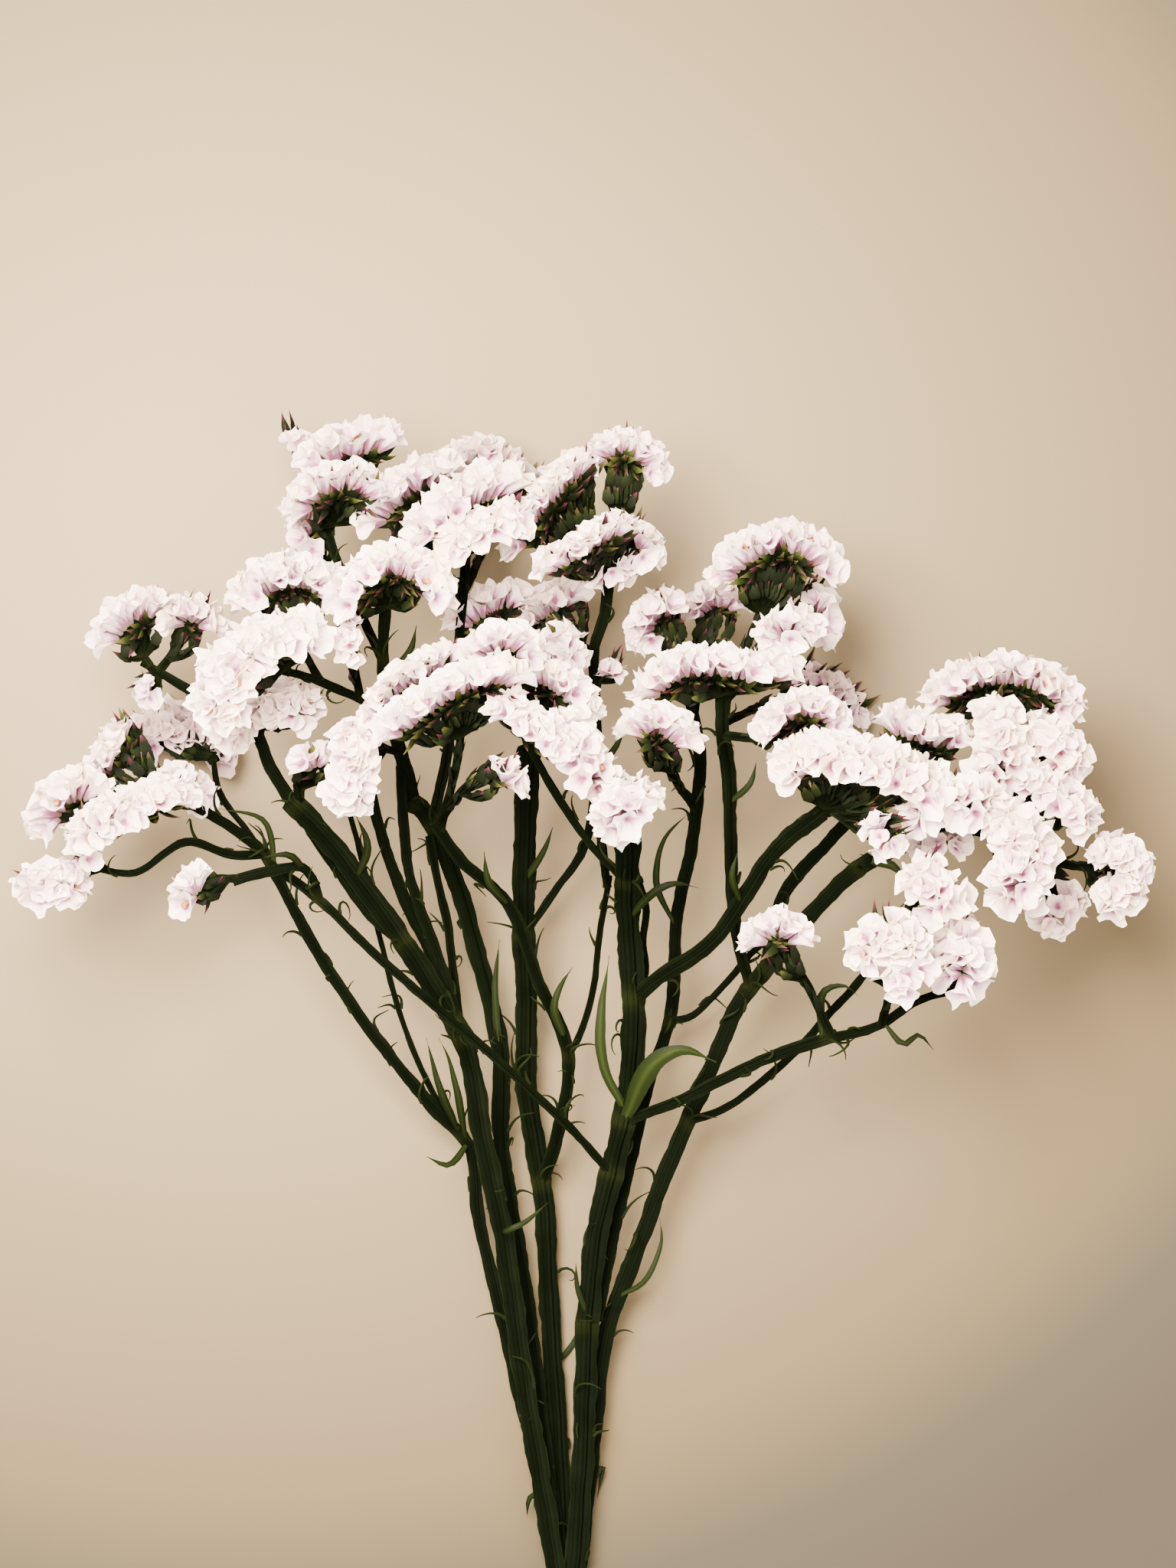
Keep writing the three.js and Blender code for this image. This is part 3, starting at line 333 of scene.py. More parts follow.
# Axes: name, parent, full width at the root and at the tip, points of the middle line
STEMS = [
    ("base", None, 8.4, 9.6, [
        (*CUT_END, 1.6), (-5.5, -80, 3.2), FORK]),
    ("a", "base", 5, 4, [
        FORK, (-10, 0, 9), (-14.5, 31, 13), (-21, 50, 16), (-29, 84, 20),
        (-36, 114, 24), (-39, 137, 27), (-51, 150, 33), (-75.5, 181, 46), (-91.5, 206, 54),
        (-106.5, 235, 64)]),
    ("b", "base", 7, 7.5, [
        FORK, (-11, 0, 11), (-16, 30, 17), (-21, 60, 23), (-28.5, 112, 33),
        (-34, 137, 37), (-40.5, 171, 44), (-49, 186, 49), (-63, 208, 57), (-88, 241, 71),
        (-98, 250.5, 76)]),
    ("b_twin", "b", 4.5, 4, [
        (-60, 204, 56), (-68, 210, 56), (-82, 228, 62), (-93, 246, 72), (-95, 256, 80)]),
    ("b_under", "b", 4.4, 4, [
        (-44.5, 178, 42), (-52, 201.5, 46), (-58, 213.5, 50), (-65, 231, 58), (-71, 252, 68),
        (-76, 268, 77)]),
    ("b_inner", "b", 4.2, 3.6, [
        (-42, 174, 42), (-49, 199, 46), (-55, 215, 52), (-59, 229, 58), (-60.5, 246, 66),
        (-61.5, 262, 74)]),
    ("b_right", "b", 3.4, 3, [
        (-41.5, 173, 41), (-43.5, 188, 40), (-46, 210, 44), (-49, 223, 50), (-52, 239, 57)]),
    ("c", "base", 5.6, 6.4, [
        FORK, (-9, 0, 7), (-13.5, 30, 10), (-20.5, 87, 18), (-28.5, 137, 25),
        (-29, 169, 31), (-38.5, 208, 39), (-44, 226, 46), (-53, 246, 58), (-59.5, 251, 64)]),
    ("d", "base", 6.6, 8.8, [
        FORK, (-8, 0, 5), (-9, 30, 8), (-12.5, 84, 14), (-14.5, 120, 20),
        (-20, 156, 27), (-20, 188, 34), (-21, 208, 40), (-20, 253, 60), (-19, 268, 76)]),
    ("e", "d", 4.8, 4.2, [
        (-14, 124, 21), (-10, 141, 30), (-6.5, 167, 38), (-16.5, 192, 49), (-26, 216.5, 60),
        (-42, 231.5, 70), (-50, 243, 77)]),
    ("e_thin", "e", 2.6, 2.2, [
        (-6.5, 167, 38), (-3, 173, 40), (1.5, 188, 46), (4, 208, 54), (7, 226, 66)]),
    ("f", "base", 7.6, 9, [
        FORK, (-4, 0, 10), (-1.5, 40, 18), (0, 81, 26), (3, 109, 33), (8, 130, 39),
        (13, 152, 46), (15, 180, 55), (13, 214, 68), (13, 240, 94)]),
    ("f_left", "f", 3, 2.6, [
        (15, 186, 57), (18.5, 194, 54), (18, 205, 54), (19, 215, 57), (15.5, 227, 66)]),
    ("g", "f", 4.6, 4.4, [
        (0, 78, 25), (3, 84, 24), (10, 117, 29), (16, 141, 31), (19, 156, 33), (27, 180, 38),
        (29, 211.5, 46), (34.5, 240, 56), (36.5, 265.5, 70), (34, 279.5, 74)]),
    ("h", "base", 6.2, 6, [
        FORK, (-3, 0, 7), (1.5, 40, 13), (6, 76, 19), (16, 103, 25), (26, 130, 32),
        (39, 160, 41), (49.5, 184, 49), (61, 199, 57), (82, 223, 70), (93, 231.5, 78)]),
    ("i", "h", 4, 5.4, [
        (53, 190, 51), (49.5, 202, 55), (47, 224, 62), (46, 259, 76), (44, 272, 82),
        (44, 285, 86)]),
    ("j", "f", 5.4, 6.4, [
        (15, 184, 56), (21, 191, 62), (41, 205, 72), (61, 234, 86), (76.5, 247, 95)]),
    ("k", "h", 5, 4.6, [
        (58, 197, 55), (64, 219.5, 60), (82.5, 241, 74), (95, 255, 80), (106, 266, 80)]),
    ("l", "f", 3.8, 4.6, [
        (12, 146, 44), (29, 152, 52), (58, 166, 63), (81.5, 174, 73)]),
    ("l_right", "l", 3.8, 2.6, [
        (79, 173, 72), (95, 177, 82), (107, 185, 86), (117, 188, 90), (124, 188, 92)]),
    ("m", "h", 3, 3, [
        (32, 145, 36), (47, 151, 44), (69.5, 170, 56), (79, 181, 64), (89, 192, 78),
        (104, 215, 92)]),
    ("n", "g", 2.6, 2.4, [
        (27, 178, 38), (34, 180, 40), (44.5, 190, 42), (54, 201, 50), (60, 205, 74)]),
    ("o", "f", 3, 3.4, [
        (7, 128, 38), (-6.5, 144, 50), (-35, 170.5, 62), (-67, 198, 76), (-89, 219, 81),
        (-104, 230, 84)]),
    ("p", "o", 3, 4.4, [
        (-88, 217, 81), (-90, 225, 85), (-94, 229, 90), (-104.5, 227.5, 92), (-116, 224.5, 93)]),
    ("q", "f", 3, 3, [
        (12, 225, 76), (1, 236, 84), (-13, 257, 92), (-21, 272, 97), (-27, 281, 105)]),
    ("r", "d", 2.8, 4.4, [
        (-20, 206, 39), (-10, 222, 44), (-1, 236, 50), (3, 268, 62), (2, 299, 70),
        (5.5, 312, 74), (7, 326, 80)]),
    ("s", "h", 4.6, 3, [
        (88, 228, 75), (105, 236, 80), (118, 241, 82), (130, 240, 84), (155, 230, 84),
        (165, 229, 85)]),
    ("s_up", "s", 3.6, 2.8, [
        (116, 241, 82), (124, 254, 82), (128, 268, 79), (131, 280, 76)]),
    ("a_up", "a", 2.4, 2.2, [
        (-104, 230, 62), (-111, 240, 64), (-120, 252, 60), (-123, 265, 46)]),
    ("a_high", "a", 4, 3, [
        (-105, 233, 63), (-117, 242, 70), (-130, 249, 78), (-143, 253, 80)]),
    ("a_low", "a", 3.6, 2.4, [
        (-105, 233, 63), (-117, 233, 70), (-132, 237, 78), (-148, 227, 80), (-163, 229, 80)]),
    ("b_up", "b", 5, 3, [
        (-96, 249, 75), (-104, 262, 80), (-112, 279, 80), (-127, 285, 74), (-146, 296, 72)]),
    ("c_up", "c", 5.6, 4, [
        (-57, 249, 62), (-60, 262, 74), (-66, 284, 82), (-67, 300, 88), (-66, 315, 96)]),
    ("c_far", "c_up", 3.6, 2.6, [
        (-67, 296, 87), (-74.5, 312, 82), (-81, 327, 80), (-84.5, 337, 78), (-87, 352, 74)]),
    ("c_left", "c_up", 3.8, 2.6, [
        (-65, 280, 81), (-79.5, 286, 90), (-92, 291, 100), (-106, 294, 108)]),
    ("c_mid", "c", 4, 3.4, [
        (-51, 243, 56), (-46, 267, 62), (-44, 287, 66), (-41, 315, 78), (-40, 330, 88)]),
    ("thin", "a", 2.2, 2, [
        (-42, 140, 29), (-52, 157, 36), (-62, 182, 41), (-68, 205, 46), (-78, 246, 60),
        (-84, 259, 76)]),
]

# Spikes: name, carrying axis, radius, facing, where the stalk joins, the stalk's points, the middle line
SPIKES = [
    ("crest_side", "c_far", 6.5, (-0.5, 0.75, 0.35), 0, [(-88, 352, 73), (-91, 361, 70)],
     [(-93, 366, 72), (-97, 371, 72)]),
    ("crest", "c_far", 10.5, (0, 0.75, 0.6), 0.4, [(-86, 348, 76), (-82, 357, 76)],
     [(-90, 363, 84), (-81, 369, 84), (-66, 372, 82)]),
    ("crest_dome", "c_far", 9, (0, 0.9, 0.4), 0.5, [(-85, 339, 78), (-81, 345, 84)],
     [(-95, 349, 90), (-89, 356, 92), (-78, 359, 92), (-67, 354, 90)]),
    ("crest_low", "c_far", 7.5, (-0.8, 0.3, 0.45), 0.5, [(-81, 329, 79), (-85, 335, 77)],
     [(-94, 344, 76), (-93, 333, 76)]),
    ("top_dome", "c_mid", 9, (0, 0.8, 0.5), 0.5, [(-40, 322, 84), (-40, 343, 60), (-37, 356, 52)],
     [(-45, 363, 56), (-36, 367, 56), (-26, 363, 56)]),
    ("top_back", "c_mid", 7.5, (0.3, 0.7, 0.4), 0, [(-40, 318, 80), (-31, 340, 50), (-26, 352, 42)],
     [(-24, 360, 41), (-13, 357, 40)]),
    ("mass_far", "c_mid", 10, (-0.25, 0.8, 0.55), 0.2, [(-41, 316, 79), (-54, 332, 76), (-62, 341, 76)],
     [(-71, 345, 84), (-64, 353, 86), (-56, 359, 86), (-46, 362, 84)]),
    ("mass_mid", "c_mid", 12, (0, 0.75, 0.65), 0.5, [(-40, 328, 87), (-41, 338, 94)],
     [(-52, 341, 103), (-44, 350, 103), (-35, 355, 101), (-26, 357, 98)]),
    ("mass_low", "c_mid", 8.5, (0.25, 0.5, 0.8), 0.3, [(-40, 329, 87), (-38, 335, 94)],
     [(-44, 338, 107), (-33, 342, 108), (-24, 347, 106)]),
    ("diagonal", "r", 8, (-0.6, 0.5, 0.6), 0.3, [(7, 324, 79), (-6, 333, 84)],
     [(-24, 336, 98), (-19.5, 346, 99), (-11, 356, 97), (-2, 365, 94)]),
    ("crown", "r", 8, (0, 0.9, 0.4), 0.5, [(7, 325, 80), (10, 343, 82), (11, 354, 84)],
     [(2, 364, 90), (8, 370, 91), (16, 369, 91), (22, 361, 90)]),
    ("shelf", "r", 7.5, (-0.2, 0.7, 0.65), 0.5, [(7, 322, 78), (3, 329, 92)],
     [(-14, 331, 104), (-6, 334, 106), (3, 340, 106), (12, 344, 104)]),
    ("shelf_side", "r", 7, (0.7, 0.1, 0.6), 0, [(7, 323, 79), (13, 334, 84)],
     [(18, 340, 88), (20, 332, 88)]),
    ("shelf_low", "r", 6.5, (0.2, -0.3, 0.85), 0, [(6.5, 320, 77), (5, 325, 77)],
     [(2, 328, 86), (12, 330, 86)]),
    ("middle_left", "c_mid", 9, (-0.3, 0.75, 0.55), 0.3, [(-43, 296, 70), (-40, 303, 68)],
     [(-42, 312, 74), (-33, 318, 74), (-24, 321, 72)]),
    ("middle_right", "r", 9, (0.1, 0.8, 0.6), 0.3, [(2, 299, 70), (-8, 305, 64)],
     [(-20, 313, 69), (-13, 318, 69), (-6, 322, 69)]),
    ("middle_end", "r", 7, (0.3, 0.3, 0.85), 0, [(2, 296, 69), (-2, 300, 76)],
     [(-8, 308, 86), (-6, 299, 86)]),
    ("middle_tip", "r", 5, (0.6, 0.4, 0.5), 0, [(3, 288, 67), (4.5, 291, 67)],
     [(5, 296, 68), (9, 296, 68)]),
    ("slope_right", "c_up", 10.5, (0, 0.8, 0.6), 0.5, [(-66, 312, 95), (-65, 318, 102)],
     [(-80, 318, 111), (-73, 327, 113), (-64.5, 331, 113), (-55, 328, 112), (-50, 320, 111)]),
    ("slope_back", "c_left", 11, (-0.2, 0.7, 0.65), 0.5, [(-88, 289, 97), (-95, 304, 92), (-98, 315, 90)],
     [(-112, 319, 98), (-103, 326, 99), (-93, 327, 99), (-84, 322, 99)]),
    ("slope_front", "c_left", 12.5, (-0.3, 0.45, 0.85), 0.6, [(-98, 292, 104), (-101, 297, 110)],
     [(-121, 284, 116), (-118, 295, 118), (-106, 304, 118), (-92, 308, 116)]),
    ("slope_strand", "c_left", 4.6, (0.2, 0, 0.97), 0.6, [(-74, 283, 87), (-77, 298, 100)],
     [(-78, 313, 110), (-77, 299, 109)]),
    ("wing_left", "b_up", 9.5, (-0.3, 0.8, 0.5), 0.4, [(-143, 294, 72), (-148, 302, 73)],
     [(-158, 306, 78), (-151, 315, 80), (-141, 318, 80)]),
    ("wing_right", "b_up", 8.5, (0.2, 0.8, 0.5), 0.4, [(-141, 292, 73), (-134, 301, 76)],
     [(-136, 311, 82), (-130, 316, 83), (-123, 311, 83)]),
    ("wing_drop", "b_up", 4.6, (-0.3, -0.4, 0.8), 0, [(-140, 291, 73), (-143, 291, 68)],
     [(-145, 291, 71), (-144, 287, 71)]),
    ("puff", "a_up", 11, (-0.2, 0.5, 0.8), 0.7, [(-122, 260, 46), (-125, 267, 37)],
     [(-145, 274, 33), (-136, 278, 34), (-126, 276, 34), (-120, 271, 34)]),
    ("shade", "b_up", 9, (0, 0.2, 0.95), 0.5, [(-108, 271, 80), (-106, 279, 81)],
     [(-119, 276, 83), (-112, 283, 84), (-102, 285, 86), (-92, 282, 88)]),
    ("fork_tip", "a_high", 8, (-0.6, 0.5, 0.55), 0.5, [(-138, 252, 79), (-145, 262, 72)],
     [(-153, 277, 75), (-158, 267, 77), (-163, 260, 79)]),
    ("fork_mass", "a_high", 10.5, (-0.5, 0.5, 0.7), 0.6, [(-141, 252, 80), (-157, 250, 78)],
     [(-177, 246, 84), (-172, 255, 86), (-162, 257, 87)]),
    ("fork_row", "a_high", 9.5, (-0.15, 0.55, 0.8), 0.5, [(-137, 251, 79), (-148, 247, 84)],
     [(-165, 243, 94), (-154, 249, 95), (-144, 253, 94), (-133, 257, 92)]),
    ("fork_back", "a_high", 8, (0.2, 0.5, 0.7), 0.5, [(-124, 246, 74), (-129, 251, 71)],
     [(-136, 261, 74), (-126, 256, 74)]),
    ("fork_drop", "a_low", 6.5, (-0.6, 0, 0.8), 0.6, [(-158, 228, 80), (-163, 233, 82)],
     [(-167, 242, 90), (-167, 232, 89)]),
    ("fork_end", "a_low", 8.5, (-0.2, 0.5, 0.85), 0.5, [(-160, 228, 80), (-170, 225, 78)],
     [(-183, 224, 84), (-177, 228, 85), (-168, 225, 85)]),
    ("berry", "p", 8.5, (-0.8, -0.1, 0.6), 0.4, [(-114, 225, 93), (-119, 225, 92)],
     [(-132, 221, 95), (-128, 228, 96)]),
    ("tuft", "b_twin", 7.5, (-0.4, 0.65, 0.65), 0.4, [(-94, 252, 77), (-92, 260, 84)],
     [(-94, 266, 92), (-86, 268, 93)]),
    ("drop", "c_up", 8.5, (0, 0.05, 0.99), 0.5, [(-61, 266, 76), (-71, 268, 94)],
     [(-76, 275, 110), (-77, 266, 111), (-79, 254, 110)]),
    ("arch_left", "e", 9.5, (-0.4, 0.65, 0.65), 0.7, [(-48, 240, 76), (-43, 262, 98), (-40, 279, 112)],
     [(-65, 276, 124), (-56, 283, 126), (-44, 291, 127), (-32, 295, 127), (-23, 294, 125)]),
    ("arch_back", "c_up", 7.5, (-0.4, 0.7, 0.6), 0.4, [(-62, 270, 77), (-60, 282, 98)],
     [(-71, 281, 112), (-63, 291, 114), (-53, 297, 114), (-43, 302, 113)]),
    ("arch_top", "q", 9, (0, 0.7, 0.7), 0.5, [(-24, 276, 101), (-28, 292, 108)],
     [(-37, 301, 119), (-28, 306, 120), (-19, 302, 119)]),
    ("arch_back_right", "d", 9, (0.35, 0.6, 0.7), 0.4, [(-19.5, 262, 70), (-15, 276, 90)],
     [(-17, 296, 110), (-8, 291, 110), (-1, 283, 108)]),
    ("arch_right", "q", 8.5, (0.35, 0.5, 0.8), 0.3, [(-20, 271, 97), (-20, 275, 106)],
     [(-27, 286, 122), (-18, 277, 124), (-9, 271, 124)]),
    ("arch_low", "e_thin", 10, (0.4, 0.3, 0.85), 0.6, [(6, 222, 63), (4, 240, 86), (3, 252, 103)],
     [(-6, 278, 118), (-1, 268, 119), (5, 259, 118)]),
    ("arch_end", "f", 10, (0.2, 0.35, 0.9), 0.5, [(13, 236, 89), (13, 245, 105)],
     [(7, 246, 126), (12, 251, 128), (18, 255, 126)]),
    ("lone", "e", 7, (0.9, -0.05, 0.4), 0, [(-49, 242, 77), (-40, 255, 104), (-32, 262, 113)],
     [(-26, 263, 117), (-24, 260, 117)]),
    ("cap", "g", 9.5, (0.05, 0.9, 0.4), 0.5, [(35, 247, 59), (28, 258, 78), (25, 264, 90)],
     [(14, 277, 104), (23, 280, 105), (33, 273, 103)]),
    ("hill_dome", "i", 10, (0, 0.85, 0.5), 0.5, [(44, 283, 86), (54, 306, 78), (62, 324, 80)],
     [(44, 327, 88), (52, 335, 90), (63, 339, 90), (73, 336, 90), (79, 329, 88)]),
    ("hill_left", "g", 8, (-0.4, 0.7, 0.5), 0.6, [(34, 279, 74), (28, 298, 70), (25, 308, 69)],
     [(18, 306, 74), (21, 316, 75), (28, 318, 75)]),
    ("hill_back", "g", 8, (0, 0.7, 0.55), 0.5, [(34.5, 277, 74), (38, 298, 64), (42, 310, 57)],
     [(34, 315, 60), (42, 320, 60), (50, 318, 60)]),
    ("hill_front", "i", 9.5, (0, 0.4, 0.9), 0.3, [(44, 284, 86), (56, 298, 84)],
     [(60, 308, 97), (70, 311, 97)]),
    ("hill_side", "i", 7.5, (0.6, 0.2, 0.6), 0.3, [(44, 282, 85), (64, 303, 70)],
     [(77, 319, 72), (78, 307, 71)]),
    ("hill_row", "i", 9.5, (-0.1, 0.75, 0.65), 0.5, [(44, 284, 86), (43, 289, 92)],
     [(19, 289, 98), (30, 297, 101), (43, 298, 101), (54, 296, 101), (64, 297, 99)]),
    ("hill_shade", "i", 8.5, (0.4, 0.5, 0.6), 0.3, [(44, 276, 83), (60, 283, 50), (68, 285, 31)],
     [(71, 294, 34), (80, 289, 33), (88, 281, 34)]),
    ("hill_arc", "i", 8, (0, 0.85, 0.5), 0.5, [(44, 272, 82), (58, 271, 88), (68, 274, 90)],
     [(58, 276, 97), (65, 283, 99), (75, 284, 99), (82, 278, 98)]),
    ("ridge", "j", 12, (0.1, 0.65, 0.75), 0.3, [(74, 245, 93), (82, 254, 102)],
     [(66, 265, 112), (78, 268, 113), (91, 266, 113), (103, 262, 112), (112, 256, 112)]),
    ("ridge_drop", "j", 5.6, (0, -0.3, 0.95), 0, [(75, 246, 94), (88, 248, 106)],
     [(93, 246, 112), (99, 238, 112)]),
    ("bank", "k", 9.5, (0, 0.8, 0.6), 0.5, [(103, 264, 80), (110, 269, 80)],
     [(99, 279, 87), (110, 276, 88), (121, 274, 88)]),
    ("bank_top", "s_up", 9.5, (0.1, 0.7, 0.65), 0.5, [(130, 277, 76), (136, 285, 78)],
     [(114, 287, 84), (127, 294, 86), (139, 295, 86), (151, 291, 85), (157, 284, 84)]),
    ("bank_mid", "s_up", 10, (0, 0.4, 0.9), 0.4, [(127, 264, 80), (132, 269, 88)],
     [(133, 282, 98), (135, 272, 99), (132, 262, 99)]),
    ("bank_right", "s_up", 9, (0.4, 0.3, 0.8), 0.4, [(128, 268, 79), (142, 268, 82)],
     [(145, 277, 92), (155, 272, 93), (158, 265, 92)]),
    ("bank_low", "s", 9, (0.4, 0.3, 0.85), 0.4, [(134, 239, 84), (146, 251, 88)],
     [(144, 261, 96), (154, 254, 97), (163, 248, 95)]),
    ("bank_row", "s", 9.5, (0, 0.2, 0.97), 0.5, [(112, 239, 81), (118, 246, 94)],
     [(107, 250, 106), (119, 254, 107), (131, 252, 107)]),
    ("bank_front", "s", 11, (0.1, 0, 0.98), 0.5, [(130, 240, 84), (139, 236, 98)],
     [(136, 246, 110), (143, 240, 111), (143, 230, 110), (138, 222, 108)]),
    ("far_right", "s", 8, (0.5, 0.2, 0.8), 0.5, [(160, 229, 85), (167, 229, 84)],
     [(169, 237, 91), (177, 234, 92), (175, 224, 91), (170, 221, 90)]),
    ("far_low", "s", 8, (0.3, -0.3, 0.8), 0.4, [(146, 234, 84), (150, 223, 76)],
     [(151, 214, 80), (158, 220, 80)]),
    ("shade_right", "s", 8, (0, 0.2, 0.85), 0.4, [(101, 234, 79), (108, 236, 77)],
     [(109, 239, 85), (120, 240, 86)]),
    ("pair_top", "m", 10.5, (0, 0.2, 0.96), 0.5, [(101, 211, 90), (109, 220, 98)],
     [(110, 229, 111), (117, 219, 111)]),
    ("pair_round", "l_right", 9, (0, 0.15, 0.98), 0.3, [(96, 178, 82), (98, 186, 98), (99, 193, 108)],
     [(90, 203, 115), (98, 210, 116), (106, 203, 116), (101, 194, 115)]),
    ("pair_right", "l_right", 10, (0.2, 0, 0.95), 0.5, [(119, 188, 91), (121, 194, 94)],
     [(120, 211, 105), (124, 202, 106), (121, 194, 105)]),
    ("small_cap", "l", 8.5, (0, 0.85, 0.5), 0.5, [(80, 173.5, 72), (71, 191, 84), (65, 199, 92)],
     [(54, 208, 102), (62, 213, 104), (70, 208, 102)]),
]

# Leaves: carrying axis, greatest full width, points of the midrib
LEAVES = [
    ("f", 6.4, [(10, 145, 45), (21, 164, 60), (31, 169, 64), (42, 165, 62)]),
    ("f", 3.6, [(11, 148, 46), (5, 164, 53), (4, 177, 57), (7, 200, 60)]),
    ("e", 2.8, [(-10, 172, 40), (-11, 183, 48), (-9, 190, 50), (-5, 196, 52)]),
    ("e", 2.6, [(-26, 216, 60), (-32.5, 224, 70), (-34, 234, 74)]),
    ("d", 2.4, [(-20, 222, 46), (-14.5, 234, 54), (-11.5, 242, 58)]),
    ("g", 2.2, [(29, 210, 46), (22.5, 223, 52), (25, 238, 56), (33.5, 247, 60)]),
    ("f", 2.8, [(13, 212, 67), (22, 221, 76), (29, 223.5, 78), (36, 222, 76)]),
    ("c", 2.6, [(-29, 165, 30), (-30.5, 189, 36), (-29, 205, 38)]),
    ("a", 2.4, [(-40, 138, 28), (-46, 131, 34), (-53, 134, 36)]),
    ("a", 2.6, [(-43, 141, 29), (-48, 155, 42), (-51, 165, 45), (-53, 173, 44)]),
    ("a", 2.4, [(-41, 139, 28), (-43, 156, 42), (-46, 167, 46), (-49, 173, 48)]),
    ("b", 2, [(-28, 108, 32), (-26, 110, 42), (-20, 113, 42), (-13, 119, 40)]),
    ("h", 2, [(11, 88, 22), (18.5, 93, 26), (24, 106, 28), (23.5, 114, 28)]),
    ("f", 2, [(0, 82, 26), (-3.5, 91, 30), (-4, 99, 32)]),
    ("d", 2, [(-11, 66, 11), (-4, 74, 8), (-2, 82, 8)]),
    ("h", 2, [(-1, 24, 10), (5, 33, 9), (3, 22, 6)]),
    ("a", 2, [(-13, 24, 12), (-19, 22, 11), (-20, 16, 8)]),
    ("l", 2.8, [(76, 172, 71), (77, 188, 76), (84, 190, 78), (88, 187, 78)]),
    ("l_right", 2, [(97, 178, 83), (103, 171, 82), (108, 174, 80), (113, 169, 78)]),
    ("a", 2, [(-102, 226, 61), (-106, 244, 70), (-121, 248, 74)]),
    ("h", 3.4, [(92, 231, 77), (100, 229, 84), (104, 224, 86)]),
    ("p", 2.4, [(-93, 228, 89), (-98, 233, 96), (-106, 232, 98)]),
    ("j", 2.2, [(50, 218, 79), (47, 226, 86), (49, 234, 88)]),
    ("i", 2.4, [(46, 250, 72), (53, 256, 76), (55, 263, 76)]),
    ("r", 2.2, [(2, 262, 60), (9, 268, 62), (12, 276, 62)]),
    ("b", 2.6, [(-75, 224, 64), (-72, 236, 72), (-76, 246, 76)]),
    ("c_up", 2.6, [(-66, 290, 84), (-58, 300, 90), (-56, 308, 94)]),
]

# Sprays: each is one piece of papery florets, made of the spikes named
SPRAYS = {
    "crest": ["crest_side", "crest", "crest_dome", "crest_low"],
    "mass": ["top_dome", "top_back", "mass_far", "mass_mid", "mass_low", "middle_left"],
    "crown": ["diagonal", "crown", "shelf", "shelf_side", "shelf_low", "middle_right",
              "middle_end", "middle_tip"],
    "slope": ["slope_right", "slope_back", "slope_front", "slope_strand"],
    "wing": ["wing_left", "wing_right", "wing_drop", "puff", "shade", "tuft", "drop"],
    "fork": ["fork_tip", "fork_mass", "fork_row", "fork_back", "fork_drop", "fork_end", "berry"],
    "arch": ["arch_left", "arch_back", "arch_top", "arch_back_right", "arch_right", "arch_low",
             "arch_end", "lone", "cap"],
    "hill": ["hill_dome", "hill_left", "hill_back", "hill_front", "hill_side", "hill_row",
             "hill_shade", "hill_arc"],
    "ridge": ["ridge", "ridge_drop", "bank", "bank_row", "shade_right"],
    "bank": ["bank_top", "bank_mid", "bank_right", "bank_low", "bank_front", "far_right",
             "far_low"],
    "pair": ["pair_top", "pair_round", "pair_right", "small_cap"],
}

# The lie of the axes


def linear(hex_colour):
    """sRGB hex to linear RGBA."""
    parts = [int(hex_colour[k:k + 2], 16) / 255 for k in (1, 3, 5)]
    return tuple(c / 12.92 if c <= 0.04045 else ((c + 0.055) / 1.055) ** 2.4 for c in parts) + (1.0,)


def within(value, low=0.0, high=1.0):
    """The value, kept between low and high."""
    return min(high, max(low, value))


def either_way(draw, most):
    """A drawn number from -most to most."""
    return draw.uniform(-most, most)


def drawing_shift():
    """From the drawing to the frame, in mm: both know where the cut end is."""
    low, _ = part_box(STEM_NODE)
    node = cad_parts[STEM_NODE]
    end = [v.co.x for v in node.data.vertices if v.co.y < low.y + 0.5 * MM]
    return Vector(((min(end) + max(end)) / 2 / MM - CUT_END[0], low.y / MM - CUT_END[1], 0))


SHIFT = drawing_shift()


def laid(point):
    """A point of the tables, in the frame and in mm: what stands above the fork sinks a little."""
    x, y, z = point
    return Vector((x, y, z - LEAN * max(0, y - FORK_Y))) + SHIFT


class Line:
    """A smooth line through points, read by its share of the length."""

    def __init__(self, points):
        self.dense = smooth(points)
        steps = np.linalg.norm(np.diff(self.dense, axis=0), axis=1)
        self.at = np.concatenate([[0], np.cumsum(steps)])
        self.length = float(self.at[-1])
        self.inset = min(END_INSET, INSET_SHARE * self.length)
        self.inner_length = self.length - 2 * self.inset

    def point(self, t):
        s = within(t) * self.length
        return Vector([float(np.interp(s, self.at, self.dense[:, k])) for k in range(3)])

    def tangent(self, t):
        return (self.point(min(1, t + TANGENT_STEP)) - self.point(max(0, t - TANGENT_STEP))).normalized()

    def stand(self, t):
        """A point, and the directions there: along the line, level across it, and away from the surface."""
        along = self.tangent(t)
        side = Vector((0, 0, 1)).cross(along)
        if side.length < SIDE_LEAST:
            side = Vector((1, 0, 0))
        side.normalize()
        return self.point(t), along, side, along.cross(side).normalized()

    def around(self, t, turn):
        """A direction square to the line, at a turn about it."""
        _, _, side, up = self.stand(t)
        return side * math.cos(turn) + up * math.sin(turn)

    def inner_share(self, share):
        """Where a share of the line without its free ends lies on the whole of it."""
        return (self.inset + share * self.inner_length) / self.length

    def nearest_row(self, point):
        """The row of the dense points that is nearest to a point."""
        return int(np.argmin(np.linalg.norm(self.dense - np.array(point), axis=1)))

    def nearest_point(self, point):
        return Vector([float(c) for c in self.dense[self.nearest_row(point)]])


